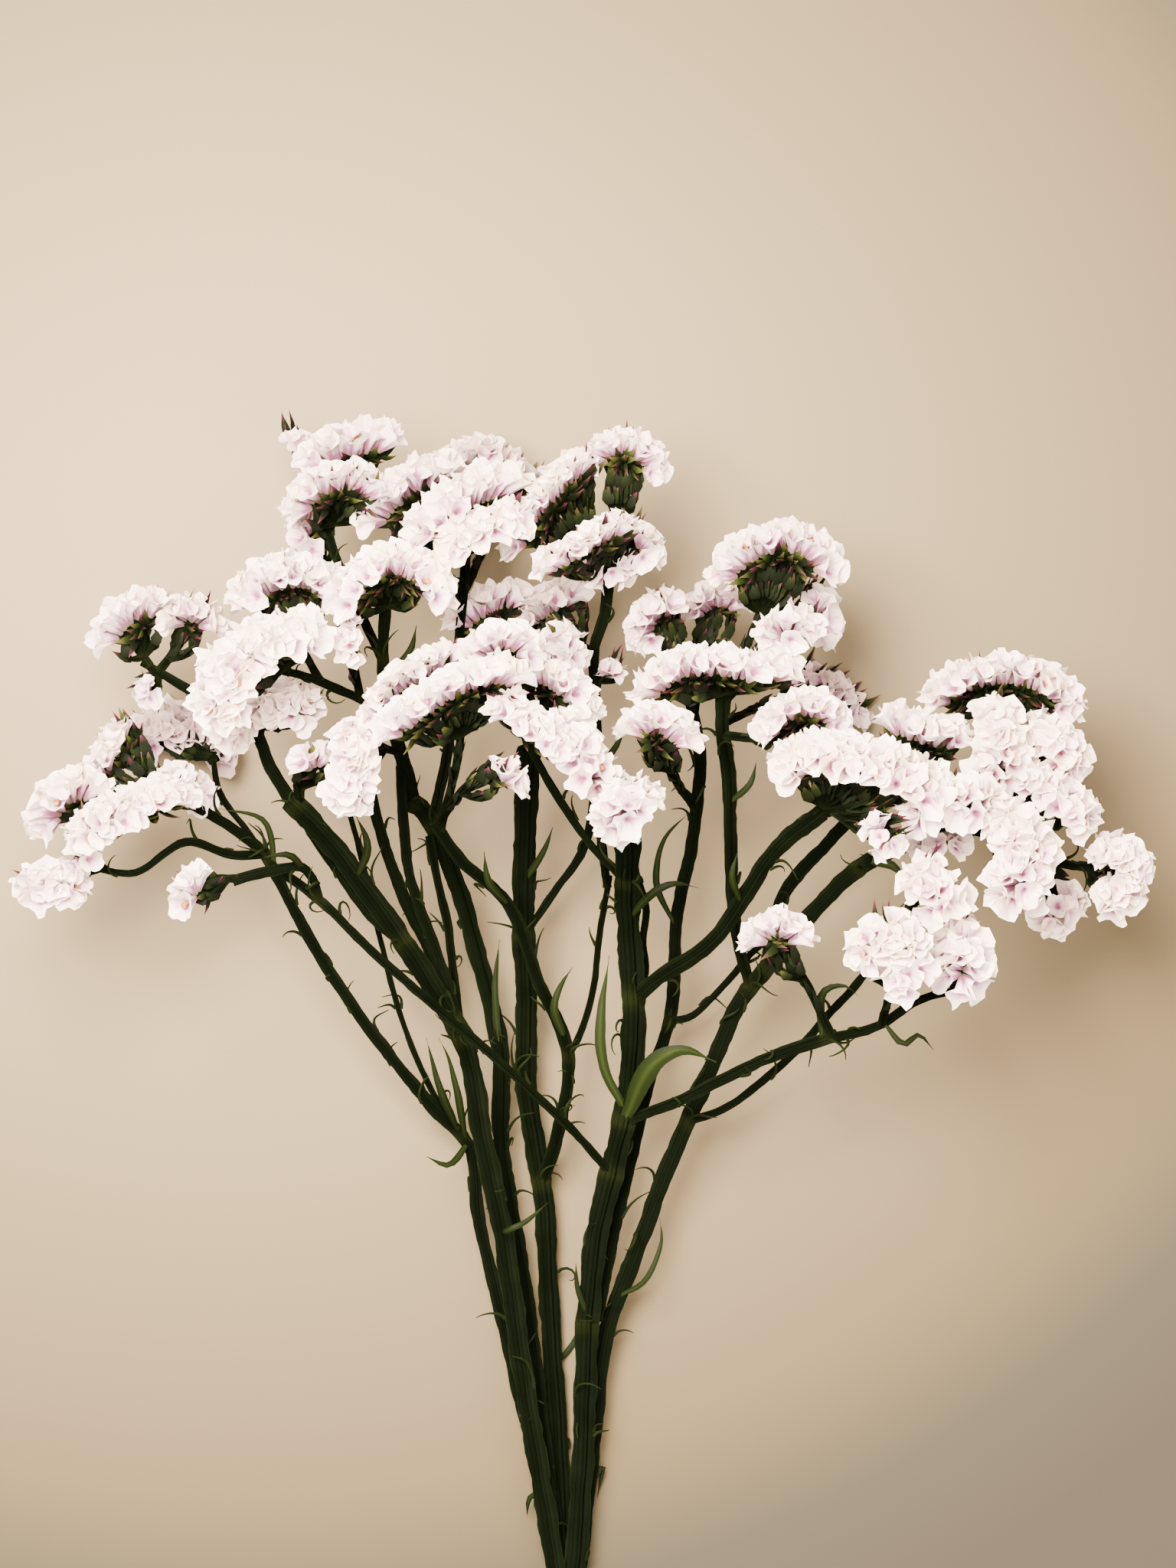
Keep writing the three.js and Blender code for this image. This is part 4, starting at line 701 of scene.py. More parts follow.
def smooth(points):
    """A centripetal spline through the points, as rows of an array."""
    known = [np.array(p, float) for p in points]
    if len(known) == 2:
        step = known[1] - known[0]
        return np.array([known[0] + step * k / SPLINE_STEPS for k in range(SPLINE_STEPS + 1)])
    ends = [2 * known[0] - known[1]] + known + [2 * known[-1] - known[-2]]
    rows = []
    for a, b, c, d in zip(ends, ends[1:], ends[2:], ends[3:]):
        t0, t1, t2 = [max(np.linalg.norm(q - p) ** CENTRIPETAL, 1e-4) for p, q in ((a, b), (b, c), (c, d))]
        m1 = ((b - a) / t0 - (c - a) / (t0 + t1) + (c - b) / t1) * t1
        m2 = ((c - b) / t1 - (d - b) / (t1 + t2) + (d - c) / t2) * t1
        for k in range(SPLINE_STEPS):
            s = k / SPLINE_STEPS
            rows.append((2 * s ** 3 - 3 * s ** 2 + 1) * b + (s ** 3 - 2 * s ** 2 + s) * m1
                        + (3 * s ** 2 - 2 * s ** 3) * c + (s ** 3 - s ** 2) * m2)
    rows.append(known[-1])
    return np.array(rows)


def spike_directions(line, t, facing):
    """The directions of a spike: along it, out to its florets, and to its side."""
    along = line.tangent(t)
    out = facing - along * facing.dot(along)
    if out.length < OUT_LEAST:
        out = Vector((0, 0, 1))
    out.normalize()
    return along, out, along.cross(out).normalized()


def behind(line, t, facing, distance):
    """A point behind a spike's middle line, on the side away from its florets."""
    return line.point(t) - spike_directions(line, t, facing)[1] * distance


def drop_of(line, facing, radius):
    """How far the green axis of a spike lies behind its middle line."""
    rise = max(CYME_RISE, spike_directions(line, 0.5, facing)[1].z)
    return min(CYME_DROP, radius, max(radius / 3, (line.point(0.5).z - CYME_CLEARANCE) / rise))


def read_axes():
    axes = {}
    for name, parent, root, tip, points in STEMS:
        places = [laid(p) for p in points]
        if parent:
            places[0] = axes[parent]["line"].nearest_point(places[0])
        axes[name] = {"line": Line(places), "root": root, "tip": tip}
    return axes


def read_spikes():
    spikes = {}
    for name, carrier, radius, facing, join, stalk, points in SPIKES:
        facing = Vector(facing).normalized()
        line = Line([laid(p) for p in points])
        drop = drop_of(line, facing, radius)
        places = [laid(p) for p in stalk]
        places[0] = AXES[carrier]["line"].nearest_point(places[0])
        places.append(behind(line, within(join, *JOIN_RANGE), facing, drop))
        spikes[name] = {"line": line, "facing": facing, "radius": radius, "drop": drop,
                        "stalk": Line(places)}
    return spikes


AXES = read_axes()
SPIKES_READ = read_spikes()

# Materials


def add_node(tree, kind, settings=None, links=None):
    """One node, with its settings, and with inputs linked to outputs that are given as (node, output)."""
    node = tree.nodes.new("ShaderNode" + kind)
    for key, value in (settings or {}).items():
        if key == "stops":
            set_stops(node.color_ramp, value)
        elif isinstance(key, str) and hasattr(node, key):
            setattr(node, key, value)
        else:
            node.inputs[key].default_value = value
    for key, (source, output) in (links or {}).items():
        tree.links.new(source.outputs[output], node.inputs[key])
    return node


def set_stops(band, stops):
    while len(band.elements) < len(stops):
        band.elements.new(0.5)
    for element, (place, colour) in zip(band.elements, stops):
        element.position = place
        element.color = linear(colour)


def new_material(name, **values):
    material = bpy.data.materials.new(name)
    material.use_nodes = True
    tree = material.node_tree
    shader = tree.nodes["Principled BSDF"]
    for key, value in values.items():
        shader.inputs[key.replace("_", " ")].default_value = value
    return material, tree, shader


def colours_along(tree, name, stops):
    """A band of colours, read by a value of that name that the points of the mesh carry."""
    value = add_node(tree, "Attribute", {"attribute_name": name})
    return add_node(tree, "ValToRGB", {"stops": stops}, {"Fac": (value, "Fac")})


def grain(tree, size_mm, detail):
    """Noise with grains about size_mm wide that stay in place on the piece."""
    place = add_node(tree, "TexCoord")
    settings = {"Scale": 1 / (size_mm * MM), "Detail": detail}
    return add_node(tree, "TexNoise", settings, {"Vector": (place, "Object")})


def dress(tree, shader, colour, surface):
    """Gives a shader its colour and the fine relief of its surface."""
    tree.links.new(colour, shader.inputs["Base Color"])
    size, detail, strength, depth = RELIEF[surface]
    bumps = add_node(tree, "Bump", {"Strength": strength, "Distance": depth * MM},
                     {"Height": (grain(tree, size, detail), "Fac")})
    tree.links.new(bumps.outputs["Normal"], shader.inputs["Normal"])


def petal_paper(look):
    """Dry papery calyx tissue: matt and thin, so light comes through it and shadows stay pale."""
    material, tree, shader = new_material("papery calyx", Roughness=0.62, IOR=1.4,
                                          Subsurface_Weight=0.15, Subsurface_Scale=0.004,
                                          Sheen_Weight=0.2)
    shader.inputs["Subsurface Radius"].default_value = (1.0, 0.8, 0.9)
    # From the rim into the throat the colour runs through painted shade and lilac to the dark throat and
    # the green foot: partly the calyx's own colour, partly painted shade in the funnel and between the
    # florets
    stain = colours_along(tree, "stain", [
        (0.0, look.petal), (0.22, look.petal_shade), (0.44, look.petal_lilac), (0.68, look.throat),
        (1.0, look.petal_root)])
    tone = colours_along(tree, "tone", [(0.0, WARM_PETAL), (0.5, WHITE), (1.0, COOL_PETAL)])
    petal = add_node(tree, "Mix", {**MULTIPLY, MIX_SHARE: 0.75},
                     {MIX_FIRST: (stain, "Color"), MIX_SECOND: (tone, "Color")})
    # Painted shade: the calyces of the lowest heads are darkened, more the lower the head lies
    age = colours_along(tree, "age", [(0.0, WHITE), (1.0, look.petal_low_shade)])
    shaded_petal = add_node(tree, "Mix", {**MULTIPLY, MIX_SHARE: 1.0},
                    {MIX_FIRST: (petal, MIX_RESULT), MIX_SECOND: (age, "Color")})
    dress(tree, shader, shaded_petal.outputs[MIX_RESULT], "calyx")
    return material


def bract_skin(look):
    """Green bracts that dry to a reddish purple or straw-coloured tip."""
    material, tree, shader = new_material("bract", Roughness=0.6, IOR=1.4, Specular_IOR_Level=0.06)
    green = colours_along(tree, "tip", [
        (0.0, look.bract_root), (0.6, look.bract), (0.82, look.bract_tip), (1.0, BRACT_POINT)])
    straw = colours_along(tree, "tip", [
        (0.0, look.bract_root), (0.5, STRAW_MIDDLE), (0.85, look.bract_straw), (1.0, STRAW_POINT)])
    tone = add_node(tree, "Attribute", {"attribute_name": "tone"})
    skin = add_node(tree, "Mix", {"data_type": "RGBA"}, {
        MIX_SHARE: (tone, "Fac"), MIX_FIRST: (green, "Color"), MIX_SECOND: (straw, "Color")})
    dress(tree, shader, skin.outputs[MIX_RESULT], "bract")
    return material


def stem_skin(look):
    """Fresh winged stem: dark green, paler on the wing edges and midrib, with fine ribs."""
    material, tree, shader = new_material("fresh stem", Roughness=0.65, IOR=1.4,
                                          Specular_IOR_Level=0.02)
    green = colours_along(tree, "edge", [
        (0.0, look.stem_groove), (0.35, look.stem), (0.8, look.stem_wing), (1.0, look.stem_edge)])
    patches = add_node(tree, "ValToRGB", {"stops": [(0.3, STEM_PATCH), (0.7, WHITE)]},
                       {"Fac": (grain(tree, *STEM_PATCHES), "Fac")})
    mottled = add_node(tree, "Mix", {**MULTIPLY, MIX_SHARE: 0.7},
                       {MIX_FIRST: (green, "Color"), MIX_SECOND: (patches, "Color")})
    knot = add_node(tree, "Attribute", {"attribute_name": "knot"})
    skin = add_node(tree, "Mix", {"data_type": "RGBA", MIX_SECOND: linear(look.stem_knot)},
                    {MIX_SHARE: (knot, "Fac"), MIX_FIRST: (mottled, MIX_RESULT)})
    dress(tree, shader, skin.outputs[MIX_RESULT], "stem")
    return material


def leaf_skin(look):
    """Narrow leaves: fresher green than the stem, with a paler midrib."""
    material, tree, shader = new_material("leaf", Roughness=0.55, IOR=1.4, Specular_IOR_Level=0.06)
    green = colours_along(tree, "edge", [
        (0.0, look.leaf_rib), (0.3, look.leaf), (1.0, look.leaf_edge)])
    fresh = colours_along(tree, "tone", [(0.0, DULL_LEAF), (1.0, WHITE)])
    skin = add_node(tree, "Mix", {**MULTIPLY, MIX_SHARE: 0.9},
                    {MIX_FIRST: (green, "Color"), MIX_SECOND: (fresh, "Color")})
    dress(tree, shader, skin.outputs[MIX_RESULT], "leaf")
    return material


def dry_corolla(look):
    """The small spent flowers that a few calyces still hold: dry and tan."""
    material, tree, shader = new_material("spent corolla", Roughness=0.7)
    tan = add_node(tree, "ValToRGB", {"stops": [(0.3, look.corolla), (0.7, PALE_COROLLA)]},
                   {"Fac": (grain(tree, *COROLLA_PATCHES), "Fac")})
    tree.links.new(tan.outputs["Color"], shader.inputs["Base Color"])
    return material


def painted_board(look):
    """The pale surface: matt warm paint, with a painted pool of light at the upper left and painted shade
    towards the corners.
    """
    material, tree, shader = new_material("matt painted board", Roughness=0.95,
                                          Specular_IOR_Level=0.05)
    place = add_node(tree, "TexCoord")
    reach = GLOW_REACH * MM
    spread = add_node(tree, "Mapping", {
        "vector_type": "TEXTURE",
        "Location": (GLOW[0] * MM, GLOW[1] * MM, 0),
        "Scale": (reach * GLOW_STRETCH, reach, reach)}, {"Vector": (place, "Object")})
    distance = add_node(tree, "VectorMath", {"operation": "LENGTH"}, {0: (spread, "Vector")})
    # Painted light and shade: pale in the pool of light, darker towards the corners
    tone = add_node(tree, "ValToRGB", {"stops": [
        (0.1, look.surface), (0.5, look.surface_middle), (0.69, look.surface_low),
        (0.79, look.surface_edge), (0.88, look.surface_dark)]}, {"Fac": (distance, "Value")})
    dress(tree, shader, tone.outputs["Color"], "board")
    return material


# Making pieces


def deselect():
    if bpy.context.object and bpy.context.object.mode != "OBJECT":
        bpy.ops.object.mode_set(mode="OBJECT")
    bpy.ops.object.select_all(action="DESELECT")


def linked(name, mesh):
    made = bpy.data.objects.new(name, mesh)
    bpy.context.scene.collection.objects.link(made)
    return made


def set_values(mesh, **attributes):
    """Gives the points of a mesh their named values."""
    for name, values in attributes.items():
        mesh.attributes.new(name, "FLOAT", "POINT").data.foreach_set("value", values)


def joined(name, copies):
    """Copies joined into one object at the origin."""
    deselect()
    base = copies[0]
    for copy in copies:
        copy.select_set(True)
    bpy.context.view_layer.objects.active = base
    bpy.ops.object.join()
    base.name = name
    base.data.name = name
    deselect()
    return base


def pressed(mesh):
    """Flattens what would dip into the surface, and leaves it just above."""
    for vertex in mesh.vertices:
        height = vertex.co.z / MM
        if height < PRESSED:
            vertex.co.z = PRESSED * math.exp(height / PRESSED - 1) * MM


def finish_piece(piece, material, nodes=(), angle=SMOOTH_ANGLE):
    """The last steps of every piece: smooth shading, its material, and its place in the frame."""
    pressed(piece.data)
    deselect()
    piece.select_set(True)
    bpy.context.view_layer.objects.active = piece
    bpy.ops.object.shade_smooth_by_angle(angle=math.radians(angle))
    deselect()
    piece.data.materials.clear()
    piece.data.materials.append(material)
    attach(piece, "root")
    if nodes:
        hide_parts(*nodes)


def new_outline(corners, radius):
    """A filled outline on the surface, in edit mode and selected."""
    deselect()
    bpy.ops.mesh.primitive_circle_add(vertices=corners, radius=radius * MM, fill_type="NGON")
    bpy.ops.object.mode_set(mode="EDIT")
    bpy.ops.mesh.select_all(action="SELECT")
    return bpy.context.object


def extrude_rings(rings):
    """Extrudes the selected outline from ring to ring: each is a height, a width and a thickness."""
    for (low, width, thick), (high, next_width, next_thick) in zip(rings, rings[1:]):
        bpy.ops.mesh.extrude_region_move(TRANSFORM_OT_translate={"value": (0, 0, (high - low) * MM)})
        bpy.ops.transform.resize(value=(next_width / width, next_thick / thick, 1),
                                 center_override=(0, 0, high * MM))
    bpy.ops.mesh.poke()
    bpy.ops.object.mode_set(mode="OBJECT")


def copy_of(model, matrix, **values):
    """A copy of a model with its own mesh and values, placed by a matrix."""
    mesh = model.data.copy()
    mesh.transform(matrix)
    for key, value in values.items():
        mesh.attributes[key].data.foreach_set("value", [value] * len(mesh.vertices))
    return linked(model.name, mesh)


def placed(root, way, spin, width, length):
    """A matrix that stands a model's Z axis on root along way, turned by spin, in metres."""
    turn = way.to_track_quat("Z", "Y").to_matrix().to_4x4()
    size = Matrix.Diagonal((width, width, length, 1))
    return Matrix.Translation(root * MM) @ turn @ Matrix.Rotation(spin, 4, "Z") @ size


def placed_facing(root, way, inner, width, length, spin=0.0):
    """As placed, with the model's Y axis turned towards inner, and by spin from there."""
    local = way.to_track_quat("Z", "Y").to_matrix().transposed() @ inner
    return placed(root, way, math.atan2(-local.x, local.y) + spin, width, length)


# Papery florets


def calyx_model(number, draw):
    """One calyx: a circle extruded up, over the rim and down inside, then pleated and torn."""
    rings = [(height, radius, radius) for height, radius, _ in CALYX_RINGS]
    model = new_outline(2 * CALYX_PLEATS, rings[0][1])
    extrude_rings(rings)
    pleat_calyx(model.data, draw)
    model.name = f"calyx_{number}"
    return model


def pleat_calyx(mesh, draw):
    """Pleats the funnel, tears its rim and colours its veins and throat, partly with painted shade."""
    count = 2 * CALYX_PLEATS
    # Three of the phases are used; the fourth keeps the order of the draws
    phases = [draw.uniform(0, math.tau) for _ in range(4)]
    teeth = [(either_way(draw, TOOTH_RISE), draw.uniform(*TOOTH_REACH)) for _ in range(count)]
    stain_and_shade_values = []
    for vertex in mesh.vertices:
        x, y, z = [c / MM for c in vertex.co]
        if math.hypot(x, y) < THROAT_RADIUS:
            vertex.co.z = THROAT_DEPTH * MM if z > 1 else 0
            stain_and_shade_values.append(THROAT_STAIN_AND_SHADE)
            continue
        ring = min(range(len(CALYX_RINGS)), key=lambda k: abs(CALYX_RINGS[k][0] - z))
        stain = CALYX_RINGS[ring][2] + either_way(draw, STAIN_AND_SHADE_SPREAD)
        turn = math.atan2(y, x)
        place = round(turn / math.tau * count) % count
        valley = place % 2
        reach = 1
        if ring == CALYX_RIM:
            rise, reach = teeth[place]
            fold = sum(swing * math.sin(n * turn + phase) for (n, swing), phase in zip(RIM_FOLDS, phases))
            ripple = FOLD_REACH * math.sin(RIPPLES * turn + phases[2])
            z += rise + FOLD_RISE * fold - VALLEY_DIP * valley
            reach *= 1 - FOLD_REACH * fold + ripple - VALLEY_NARROWING * valley
        elif ring:
            reach = RIDGE_AND_VALLEY[valley]
            stain += VEIN_STAIN_AND_SHADE if valley else -VEIN_STAIN_AND_SHADE
        vertex.co = (x * reach * MM, y * reach * MM, z * MM)
        stain_and_shade_values.append(max(0, stain))
    set_values(mesh, stain=stain_and_shade_values)
    for name in ("tone", "age"):
        mesh.attributes.new(name, "FLOAT", "POINT")


def rows_of(spike):
    rows = next(rows for least, rows in CALYX_ROWS if spike["radius"] >= least)
    return rows + (OPEN_ROW,) if spike["facing"].z > OPEN_FACING else rows


# How much painted shade the calyces of a spike get, from its height above the surface
def low_shade_of(spike):
    return within(1 - spike["line"].point(0.5).z / SHADED_BELOW)


def calyx_places(spike, draw):
    """Where the calyces of one spike stand: staggered rows about its facing, fewer on its lower side."""
    line = spike["line"]
    count = max(1, round(line.inner_length / CALYX_STEP))
    places = []
    lower = -1 if spike_directions(line, 0.5, spike["facing"])[2].y > 0 else 1
    for row, degrees in enumerate(rows_of(spike)):
        offset = row % 2
        for k in range(count + 1 + offset):
            share = within((k - 0.5 * offset) / count)
            places.append(calyx_place(spike, draw, share, math.radians(degrees * lower)))
    return places


def calyx_place(spike, draw, share, tilt):
    line, radius = spike["line"], spike["radius"]
    t = line.inner_share(share)
    along, out, side = spike_directions(line, t, spike["facing"])
    near_end = 2 * share - 1
    if line.length > LONG_SPIKE:
        near_end **= 3
    lean = near_end * END_LEAN + either_way(draw, LEAN_SPREAD)
    tilt += either_way(draw, TILT_SPREAD)
    way = (out * math.cos(tilt) * math.cos(lean) + side * math.sin(tilt)
           + along * math.cos(tilt) * math.sin(lean) + UPWARD * UP_LEAN).normalized()
    root = behind(line, t, spike["facing"], radius * ROOT_SHARE) + side * FOOT_SPREAD * math.sin(tilt)
    root -= UPWARD * UP_SHIFT
    length = radius * (ROOT_SHARE + REACH_SHARE * draw.uniform(*REACH_DRAW))
    width = draw.uniform(*WIDTH_DRAW) * min(1.0, radius / FULL_RADIUS)
    return placed(root, way, draw.uniform(0, math.tau), width, length / CALYX_LENGTH)


def corolla_model():
    deselect()
    bottom, top = COROLLA_RADII
    bpy.ops.mesh.primitive_cone_add(vertices=COROLLA_CORNERS, radius1=bottom * MM, radius2=top * MM,
                                    depth=COROLLA_DEPTH * MM, location=(0, 0, COROLLA_HEIGHT * MM))
    bpy.ops.object.transform_apply(location=True)
    model = bpy.context.object
    model.name = "spent_corolla"
    return model


# Bracts


def bract_model():
    """A pointed, boat-shaped bract: a flat quad extruded, narrowed, bent and closed to a point."""
    _, width, thick = BRACT_RINGS[0]
    model = new_outline(4, 1)
    bpy.ops.transform.resize(value=(width, thick, 1))
    extrude_rings(BRACT_RINGS)
    point_from = BRACT_RINGS[-1][0] - BRACT_POINT_ROOM
    tips = []
    for vertex in model.data.vertices:
        x, y, z = [c / MM for c in vertex.co]
        if math.hypot(x, y) < BRACT_POINT_RADIUS and z > point_from:
            z = BRACT_LENGTH
        share = z / BRACT_LENGTH
        vertex.co = (x * MM, (y + BRACT_CURL * share ** 2 - BRACT_HOLLOW * abs(x)) * MM, z * MM)
        tips.append(share)
    set_values(model.data, tip=tips)
    model.data.attributes.new("tone", "FLOAT", "POINT")
    model.name = "bract"
    return model


def spike_bracts(spike, model, draw):
    """Overlapping bracts that rise from the green axis under a spike and hold the florets."""
    line, radius = spike["line"], spike["radius"]
    foot = spike["drop"] + BRACT_FOOT
    reach = max(BRACT_LEAST, foot - radius * BRACT_OVERLAP)
    count = max(2, round(line.inner_length / BRACT_STEP) + 1)
    copies = []
    for share in (k / (count - 1) for k in range(count)):
        t = line.inner_share(share)
        along, out, side = spike_directions(line, t, spike["facing"])
        for turn in BRACT_TURNS:
            angle = math.radians(turn) + either_way(draw, BRACT_SPREADS["angle"])
            lean = (2 * share - 1) * BRACT_END_LEAN + either_way(draw, BRACT_SPREADS["lean"])
            way = (out * math.cos(angle) + side * math.sin(angle) + along * lean).normalized()
            root = behind(line, t, spike["facing"], foot) + side * math.sin(angle)
            long = reach / BRACT_LENGTH * draw.uniform(*BRACT_LONG_DRAW)
            wide = draw.uniform(*BRACT_WIDE_DRAW) * min(1.0, radius / FULL_RADIUS)
            spin = either_way(draw, BRACT_SPREADS["spin"])
            matrix = placed_facing(root, way, -side * turn, wide, long, spin)
            copies.append(copy_of(model, matrix, tone=draw.random() ** 2))
    return copies


def branchlets(spike):
    """Lines from the upper stalk to places along the axis under the spike."""
    stalk, line = spike["stalk"], spike["line"]
    start = stalk.point(max(BRANCHLET_START, 1 - BRANCHLET_REACH / stalk.length))
    count = max(2, round(line.length / BRANCHLET_SPACING))
    first, span = BRANCHLET_RANGE
    outward, down = BRANCHLET_BOW
    made = []
    for k in range(count + 1):
        share = first + span * k / count
        end = behind(line, share, spike["facing"], spike["drop"] * BRANCHLET_DROP)
        if (end - start).length < BRANCHLET_LEAST:
            continue
        bow = line.tangent(share) * (share - 0.5) * outward - UPWARD * abs(share - 0.5) * down
        made.append(Line([start, (start + end) / 2 + bow, end]))
    return made


def branchlet_bracts(spike, model, draw):
    """Bracts in turns round every branchlet, longer towards the florets."""
    first, gain = BRANCHLET_BRACT_GROWTH
    copies = []
    for line in branchlets(spike):
        count = round(line.length / BRANCHLET_BRACT_STEP)
        for k in range(FIRST_BRACT, count + 1):
            t = k / count
            out = line.around(t, k * SPIRAL + either_way(draw, BRANCHLET_BRACT_TURN))
            way = (line.tangent(t) + out * draw.uniform(*BRANCHLET_BRACT_OUT)
                   + UPWARD * BRANCHLET_BRACT_UP).normalized()
            long = BRANCHLET_BRACT_LENGTH / BRACT_LENGTH * (first + gain * t)
            long *= draw.uniform(*BRANCHLET_BRACT_LONG)
            wide = draw.uniform(*BRANCHLET_BRACT_WIDE) * min(1.0, spike["radius"] / BRANCHLET_FULL_RADIUS)
            matrix = placed_facing(line.point(t) + out * BRANCHLET_BRACT_FOOT, way, -out, wide, long)
            copies.append(copy_of(model, matrix, tone=draw.random() ** 3 * BRANCHLET_STRAW))
    return copies


def stalk_bracts(line, model, draw):
    """Narrow green bracts on all sides of a stalk, close along it."""
    copies = []
    for k in range(round(STALK_BRACT_COVER * line.length / STALK_BRACT_STEP)):
        t = 1 - (k + draw.random()) * STALK_BRACT_STEP / line.length
        out = line.around(t, k * SPIRAL + either_way(draw, STALK_BRACT_TURN))
        way = (line.tangent(t) + out * draw.uniform(*STALK_BRACT_OUT)).normalized()
        long = draw.uniform(*STALK_BRACT_LENGTH) / BRACT_LENGTH
        matrix = placed_facing(line.point(t), way, -out, draw.uniform(*STALK_BRACT_WIDE), long)
        copies.append(copy_of(model, matrix, tone=0.0, tip=STALK_BRACT_TIP))
    return copies


# Winged axes, leaves and threads


class Lofts:
    """Collects closed tubes, each a row of equal rings with a cap at both ends."""

    def __init__(self, *names):
        self.vertices, self.faces = [], []
        self.values = {name: [] for name in names}

    def add(self, rings, **values):
        start, count = len(self.vertices), len(rings[0])
        self.vertices += [p for ring in rings for p in ring]
        for name, numbers in values.items():
            self.values[name] += numbers
        for r in range(len(rings) - 1):
            for k in range(count):
                a = start + r * count + k
                b = start + r * count + (k + 1) % count
                self.faces.append((a, b, b + count, a + count))
        self.faces.append(tuple(reversed(range(start, start + count))))
        self.faces.append(tuple(range(start + (len(rings) - 1) * count, start + len(rings) * count)))

    def made(self, name):
        mesh = bpy.data.meshes.new(name)
        mesh.from_pydata([tuple(c * MM for c in vertex) for vertex in self.vertices], [], self.faces)
        set_values(mesh, **self.values)
        return linked(name, mesh)


def uneven_section(draw):
    """A strap with two wings, grooves beside a midrib and a flatter back, its ribs unlike each other."""
    mirror = [(-x, z, edge) for x, z, edge in reversed(WING_SECTION)]
    first, *inner, last = [*WING_SECTION, RIDGE, *mirror, *WING_BACK]
    inner = [(x + either_way(draw, RIB_SPREAD), z * draw.uniform(*RIB_HEIGHT),
              edge * draw.uniform(*RIB_EDGE)) for x, z, edge in inner]
    return [first, *inner, last]


def wavy(draw, size):
    """An uneven wave: sines of drawn length and start."""
    terms = [(draw.uniform(short, long), draw.uniform(0, math.tau), swing) for short, long, swing in WAVES]
    return lambda s: size * sum(a * math.sin(math.tau * s / w + p) for w, p, a in terms)


def add_winged_axis(lofts, line, widths, draw, knots=(0.0,)):
    """One axis with wavy wings, swelling a little where others leave it."""
    steps = max(RINGS_LEAST, round(line.length / RING_STEP))
    left, right, lift = wavy(draw, WING_WAVE), wavy(draw, WING_WAVE), wavy(draw, WING_LIFT)
    twist = wavy(draw, TWIST)
    section = uneven_section(draw)
    root, tip = widths
    rings, edges, swellings = [], [], []
    for t in (s / steps for s in range(steps + 1)):
        centre, along, side, up = line.stand(t)
        run = t * line.length
        half = AXIS_SHARE * (root + (tip - root) * t) / 2
        near = max(math.exp(-((t - k) * line.length / KNOT_LENGTH) ** 2) for k in knots)
        turn = Matrix.Rotation(twist(run), 3, along)
        side, up = turn @ side, turn @ up
        ring = []
        for x, z, edge in section:
            x, z = x * half, z * (half * CORE_SHARE + CORE_LEAST)
            wave = (left if x < 0 else right)(run)
            rough = EDGE_ROUGHNESS * either_way(draw, 1)
            x *= 1 + (wave + rough) * abs(x / half) ** 2 + KNOT_WIDTH * near
            wing = edge * (abs(x) > half * WING_FROM)
            z = z * (1 + KNOT_HEIGHT * near) + wing * lift(run + (WING_OFFSET if x < 0 else 0))
            ring.append(centre + side * x + up * z)
            edges.append(edge)
            swellings.append(KNOT_COLOUR * near)
        rings.append(ring)
    lofts.add(rings, edge=edges, knot=swellings)


def add_leaf(lofts, line, width, draw, tone):
    """A narrow pointed leaf with a folded midrib and slightly waved margins."""
    steps = max(LEAF_RINGS_LEAST, round(line.length / LEAF_STEP))
    wave = wavy(draw, LEAF_WAVE)
    first, span = LEAF_SPAN
    fold_mean, fold_swing, fold_pace = LEAF_FOLD
    rings, edges = [], []
    for t in (s / steps for s in range(steps + 1)):
        fullness = math.sin(math.pi * min(1, t * span + first)) ** LEAF_FULLNESS
        half = width / 2 * max(LEAF_TIP, fullness)
        centre, _, side, up = line.stand(t)
        fold = fold_mean + fold_swing * math.sin(t * fold_pace)
        ring = []
        for x, z, edge in LEAF_SECTION:
            reach = x * half * (1 + wave(t * line.length + (LEAF_WAVE_OFFSET if x < 0 else 0)))
            ring.append(centre + side * reach + up * (z * half + fold * abs(x) * half * 0.5))
            edges.append(edge)
        rings.append(ring)
    lofts.add(rings, edge=edges, tone=[tone] * len(edges))


def curl(start, way, length, draw):
    """The line of a thread that bends to one side again and again."""
    points = [start]
    turn = Vector((either_way(draw, 1), either_way(draw, 1), draw.uniform(THREAD_DOWN, 1))).normalized()
    bend = draw.uniform(*THREAD_BEND) * draw.choice((-1, 1))
    for _ in range(THREAD_BENDS):
        way = (Matrix.Rotation(bend, 3, turn) @ way).normalized()
        points.append(points[-1] + way * length / THREAD_BENDS)
    return Line(points)


def add_thread(lofts, start, way, length, draw):
    """A dry thread-like scale that curls away from a knot."""
    line = curl(start, way, length, draw)
    root_tone, gain = THREAD_TONE
    rings, tones = [], []
    for t in (s / THREAD_RINGS for s in range(THREAD_RINGS + 1)):
        centre, _, side, up = line.stand(t)
        half = THREAD_ROOT * (1 - t) + THREAD_TIP
        rings.append([centre + side * half, centre + up * half * THREAD_FLAT, centre - side * half])
        tones += [root_tone + gain * t] * 3
    lofts.add(rings, edge=[THREAD_EDGE] * len(tones), tone=tones)


def add_knot_threads(lofts, line, knot, length, draw):
    """Threads that spring from a knot."""
    for _ in range(KNOT_THREADS):
        start, along, side, up = line.stand(knot)
        way = (along + side * either_way(draw, KNOT_THREAD_SIDE) + up * KNOT_THREAD_UP).normalized()
        add_thread(lofts, start + way, way, length * draw.uniform(*KNOT_THREAD_LENGTH), draw)


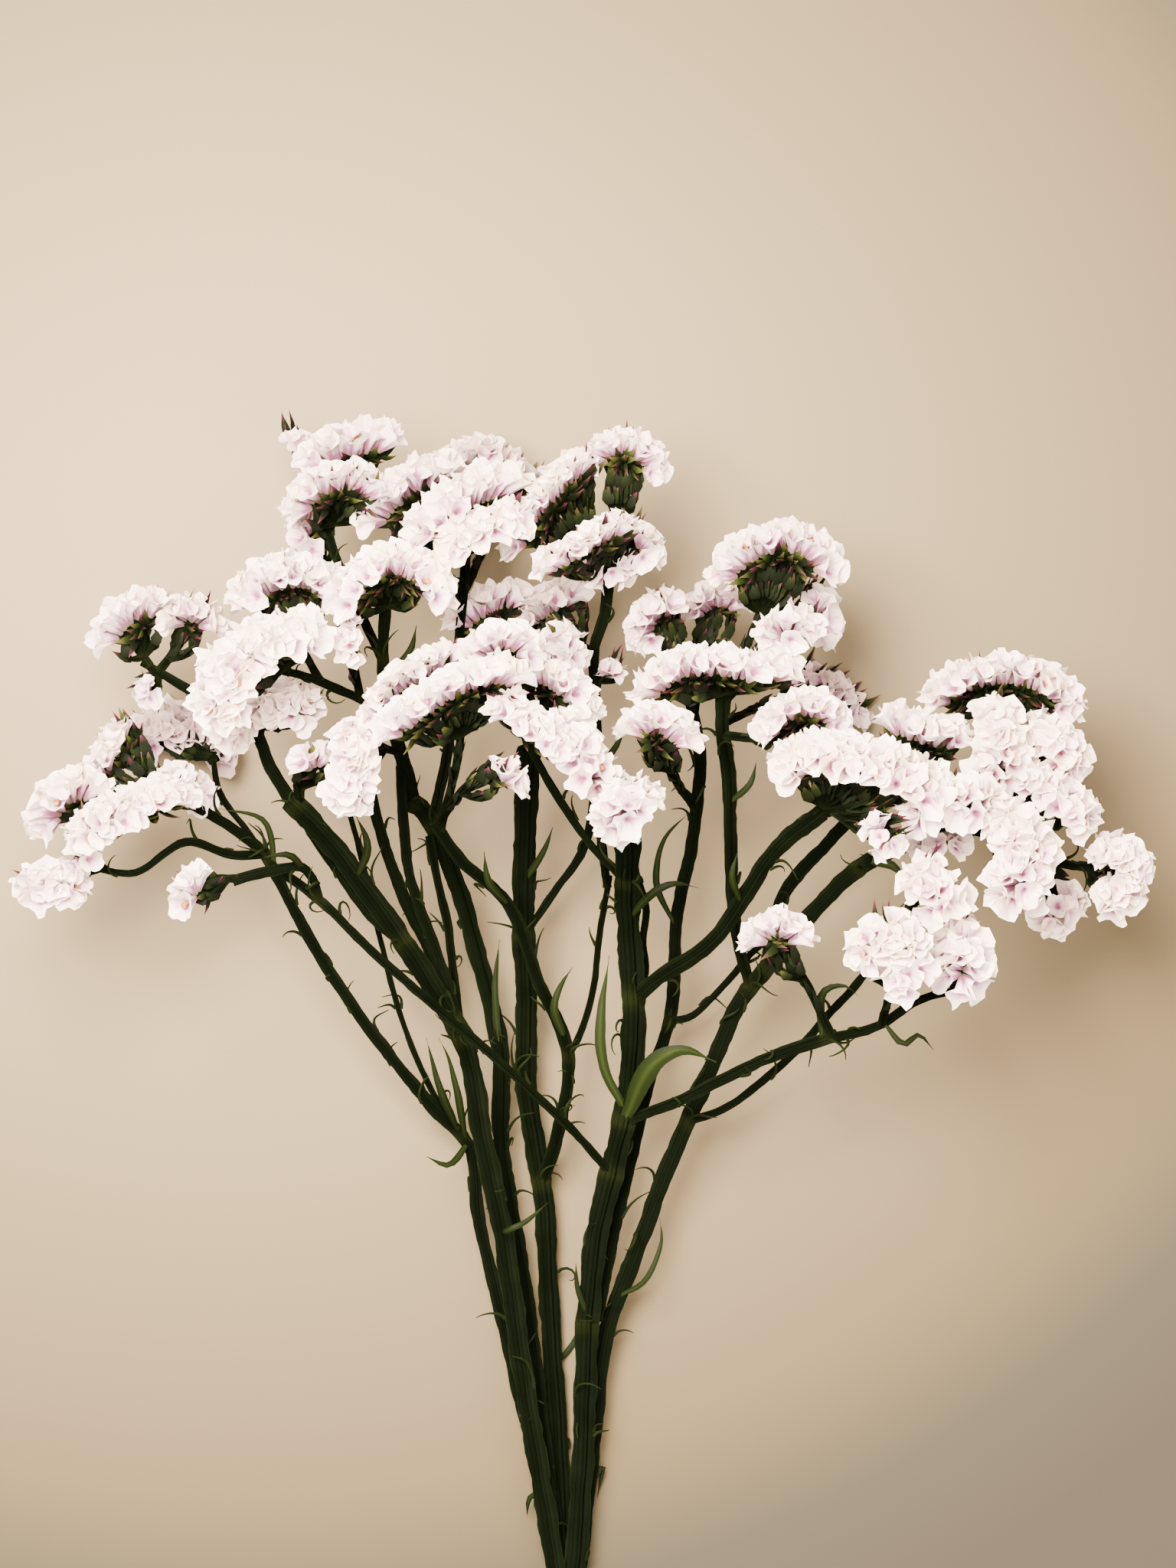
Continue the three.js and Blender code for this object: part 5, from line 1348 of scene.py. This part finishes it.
def add_side_threads(lofts, axis, length, draw):
    """Threads here and there along both edges of an axis."""
    line, root, tip = axis["line"], axis["root"], axis["tip"]
    for _ in range(round(line.length / THREAD_SPACING)):
        t = draw.uniform(*SIDE_THREAD_RANGE)
        centre, along, side, up = line.stand(t)
        side *= draw.choice((-1, 1))
        half = (root + (tip - root) * t) / 2
        way = (along + side * draw.uniform(*SIDE_THREAD_OUT) + up * SIDE_THREAD_UP).normalized()
        start = centre + side * half * SIDE_THREAD_ROOT
        add_thread(lofts, start, way, length * draw.uniform(*SIDE_THREAD_LENGTH), draw)


def knots_on(name):
    """Where other axes leave this one, as shares of its length."""
    line = AXES[name]["line"]
    starts = [AXES[child]["line"].point(0) for child, parent, _, _, _ in STEMS if parent == name]
    return [0.0] + [float(line.at[line.nearest_row(start)] / line.length) for start in starts]


# Settings that a user would change


class StaticeLook(bpy.types.PropertyGroup):
    """Sizes in metres and colours of the stem and of the surface under it"""

    seed: bpy.props.IntProperty(name="Seed", description="Start of the seeded draw", default=7, min=0)
    calyx_width: bpy.props.FloatProperty(
        name="Calyx width", description="Width of a papery calyx across its rim",
        default=CALYX_WIDTH, min=0.006, max=0.014, unit="LENGTH", subtype="DISTANCE")
    thread_length: bpy.props.FloatProperty(
        name="Thread length", description="Length of the thread-like scales at the knots",
        default=THREAD_LENGTH, min=0.002, max=0.03, unit="LENGTH", subtype="DISTANCE")
    petal: bpy.props.StringProperty(name="Calyx rim", description="sRGB hex", default="#FFF6E8")
    petal_shade: bpy.props.StringProperty(name="Calyx shade", description="sRGB hex", default="#F5E0DC")
    petal_lilac: bpy.props.StringProperty(name="Calyx lilac", description="sRGB hex", default="#D8B6CF")
    # Painted shade: the colour that darkens the calyces of the lowest heads
    petal_low_shade: bpy.props.StringProperty(
        name="Low calyx shade", description="sRGB hex that dulls the lowest heads", default="#B29CA2")
    throat: bpy.props.StringProperty(name="Throat", description="sRGB hex", default="#96557F")
    petal_root: bpy.props.StringProperty(name="Calyx root", description="sRGB hex", default="#5A5A34")
    bract_root: bpy.props.StringProperty(name="Bract root", description="sRGB hex", default="#090D05")
    bract: bpy.props.StringProperty(name="Bract", description="sRGB hex", default="#0C1108")
    bract_tip: bpy.props.StringProperty(name="Bract tip", description="sRGB hex", default="#3A1424")
    bract_straw: bpy.props.StringProperty(name="Straw bract", description="sRGB hex", default="#454C1E")
    stem: bpy.props.StringProperty(name="Stem", description="sRGB hex", default="#060A03")
    stem_groove: bpy.props.StringProperty(name="Stem groove", description="sRGB hex", default="#030602")
    stem_wing: bpy.props.StringProperty(name="Stem wing", description="sRGB hex", default="#080D04")
    stem_edge: bpy.props.StringProperty(name="Wing edge", description="sRGB hex", default="#0F1A0A")
    stem_knot: bpy.props.StringProperty(name="Stem knot", description="sRGB hex", default="#2A2F14")
    leaf: bpy.props.StringProperty(name="Leaf", description="sRGB hex", default="#131B07")
    leaf_rib: bpy.props.StringProperty(name="Leaf rib", description="sRGB hex", default="#1E270C")
    leaf_edge: bpy.props.StringProperty(name="Leaf edge", description="sRGB hex", default="#0F1606")
    corolla: bpy.props.StringProperty(name="Spent corolla", description="sRGB hex", default="#7A4A26")
    # Colours of the surface, from its painted pool of light out to its painted shade at the corners
    surface: bpy.props.StringProperty(name="Surface", description="sRGB hex", default="#877961")
    surface_middle: bpy.props.StringProperty(
        name="Surface middle", description="sRGB hex", default="#655A46")
    surface_low: bpy.props.StringProperty(name="Surface low", description="sRGB hex", default="#544A37")
    surface_edge: bpy.props.StringProperty(name="Surface edge", description="sRGB hex", default="#3C382D")
    surface_dark: bpy.props.StringProperty(name="Surface dark", description="sRGB hex", default="#37332A")


def look_of(context):
    return context.scene.statice_look


class STATICE_OT_florets(bpy.types.Operator):
    """Papery calyces of every spike, one piece for each spray"""

    bl_idname = "statice.florets"
    bl_label = "Papery florets"

    def execute(self, context):
        look = look_of(context)
        draw = random.Random(look.seed)
        models = [calyx_model(k, draw) for k in range(CALYX_MODELS)]
        share = look.calyx_width / CALYX_WIDTH
        for model in models:
            model.data.transform(Matrix.Diagonal((share, share, 1, 1)))
        paper = petal_paper(look)
        corolla, corollas = corolla_model(), []
        for spray, names in SPRAYS.items():
            places, copies = [], []
            for spike in (SPIKES_READ[name] for name in names):
                age = low_shade_of(spike)
                for place in calyx_places(spike, draw):
                    values = {"tone": draw.random(), "age": age * draw.uniform(*LOW_SHADE_DRAW)}
                    copies.append(copy_of(draw.choice(models), place, **values))
                    places.append(place)
            corollas += [copy_of(corolla, place) for place in places if draw.random() < COROLLA_SHARE]
            nodes = [FLORET_NODE + name for name in names if FLORET_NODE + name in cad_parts]
            finish_piece(joined("calyces_" + spray, copies), paper, nodes, PETAL_ANGLE)
        finish_piece(joined("spent_corollas", corollas), dry_corolla(look))
        for model in (*models, corolla):
            bpy.data.objects.remove(model)
        return {"FINISHED"}


class STATICE_OT_bracts(bpy.types.Operator):
    """Pointed bracts under every spike"""

    bl_idname = "statice.bracts"
    bl_label = "Bracts"

    def execute(self, context):
        look = look_of(context)
        draw = random.Random(look.seed + 1)
        model = bract_model()
        skin = bract_skin(look)
        for spray, names in SPRAYS.items():
            spikes = [SPIKES_READ[name] for name in names]
            copies = [c for spike in spikes for c in spike_bracts(spike, model, draw)]
            copies += [c for spike in spikes for c in branchlet_bracts(spike, model, draw)]
            finish_piece(joined("bracts_" + spray, copies), skin, [STEM_NODE])
        copies = [c for spike in SPIKES_READ.values() for c in stalk_bracts(spike["stalk"], model, draw)]
        finish_piece(joined("stalk_bracts", copies), skin, [STEM_NODE])
        bpy.data.objects.remove(model)
        return {"FINISHED"}


class STATICE_OT_axes(bpy.types.Operator):
    """Winged stem, its branches and the stalks of the spikes"""

    bl_idname = "statice.axes"
    bl_label = "Winged axes"

    def execute(self, context):
        look = look_of(context)
        draw = random.Random(look.seed + 2)
        skin = stem_skin(look)
        lofts, thin = Lofts("edge", "knot"), Lofts("edge", "knot")
        for name, axis in AXES.items():
            add_winged_axis(lofts, axis["line"], (axis["root"], axis["tip"]), draw, knots_on(name))
        for spike in SPIKES_READ.values():
            add_winged_axis(lofts, spike["stalk"], STALK_WIDTHS, draw)
            under = [behind(spike["line"], k / CYME_STEPS, spike["facing"], spike["drop"])
                     for k in range(CYME_STEPS + 1)]
            add_winged_axis(lofts, Line(under), CYME_WIDTHS, draw)
            for branchlet in branchlets(spike):
                add_winged_axis(thin, branchlet, BRANCHLET_WIDTHS, draw)
        finish_piece(thin.made("branchlets"), skin, [STEM_NODE], AXIS_ANGLE)
        finish_piece(lofts.made("winged_axes"), skin, [STEM_NODE], AXIS_ANGLE)
        return {"FINISHED"}


class STATICE_OT_leaves(bpy.types.Operator):
    """Narrow leaves and the thread-like scales at the knots"""

    bl_idname = "statice.leaves"
    bl_label = "Leaves and threads"

    def execute(self, context):
        look = look_of(context)
        draw = random.Random(look.seed + 3)
        lofts = Lofts("edge", "tone")
        for carrier, width, points in LEAVES:
            places = [laid(p) for p in points]
            places[0] = AXES[carrier]["line"].nearest_point(places[0])
            tone = 1.0 if width > FRESH_WIDTH else draw.uniform(*FRESH_DRAW)
            add_leaf(lofts, Line(places), width, draw, tone)
        length = look.thread_length / MM
        for name, axis in AXES.items():
            for knot in knots_on(name)[1:]:
                add_knot_threads(lofts, axis["line"], knot, length, draw)
            add_side_threads(lofts, axis, length, draw)
        finish_piece(lofts.made("leaves_and_threads"), leaf_skin(look), [STEM_NODE])
        return {"FINISHED"}


class STATICE_OT_stage(bpy.types.Operator):
    """Pale surface, soft light and the camera above"""

    bl_idname = "statice.stage"
    bl_label = "Stage"

    def execute(self, context):
        make_surface(look_of(context))
        make_lights()
        make_camera()
        return {"FINISHED"}


def make_surface(look):
    deselect()
    bpy.ops.mesh.primitive_plane_add(size=BOARD_WIDTH)
    surface = bpy.context.object
    surface.name = "pale_surface"
    surface.data.materials.append(painted_board(look))


def make_lights():
    world = bpy.data.worlds.new("soft room")
    world.use_nodes = True
    background = world.node_tree.nodes["Background"]
    background.inputs["Color"].default_value = linear(ROOM_COLOUR)
    background.inputs["Strength"].default_value = ROOM_STRENGTH
    bpy.context.scene.world = world
    for name, place, size, power, colour in LIGHTS:
        data = bpy.data.lights.new(name, "AREA")
        data.size = size
        data.energy = power
        data.color = linear(colour)[:3]
        light = linked(name, data)
        light.location = place
        light.rotation_euler = (-Vector(place)).to_track_quat("-Z", "Y").to_euler()


def make_camera():
    """Looks straight down from far off; a millimetre at head height spans four pixels of the photo."""
    _, height = PHOTO_SIZE
    data = bpy.data.cameras.new("camera")
    data.sensor_width = SENSOR
    data.lens = SENSOR * CAMERA_DISTANCE / (height * MM_PER_PIXEL * MM)
    data.clip_end = 2 * CAMERA_DISTANCE
    camera = linked("camera", data)
    camera.location = (SHIFT.x * MM, (SHIFT.y + height / 2 * MM_PER_PIXEL) * MM,
                       HEAD_HEIGHT * MM + CAMERA_DISTANCE)
    bpy.context.scene.camera = camera


OPERATORS = (STATICE_OT_axes, STATICE_OT_leaves, STATICE_OT_bracts, STATICE_OT_florets, STATICE_OT_stage)


class STATICE_PT_panel(bpy.types.Panel):
    """Lists the pieces of the stem"""

    bl_label = "Statice stem"
    bl_idname = "STATICE_PT_panel"
    bl_space_type = "VIEW_3D"
    bl_region_type = "UI"
    bl_category = "Statice"

    def draw(self, context):
        look = look_of(context)
        for name in ("seed", "calyx_width", "thread_length"):
            self.layout.prop(look, name)
        for operator in OPERATORS:
            self.layout.operator(operator.bl_idname)


CLASSES = (StaticeLook, *OPERATORS, STATICE_PT_panel)


def register():
    for cls in CLASSES:
        bpy.utils.register_class(cls)
    bpy.types.Scene.statice_look = bpy.props.PointerProperty(type=StaticeLook)


def unregister():
    del bpy.types.Scene.statice_look
    for cls in reversed(CLASSES):
        bpy.utils.unregister_class(cls)


def main():
    register()
    bpy.ops.statice.axes()
    bpy.ops.statice.leaves()
    bpy.ops.statice.bracts()
    bpy.ops.statice.florets()
    bpy.ops.statice.stage()


if __name__ == "__main__":
    main()
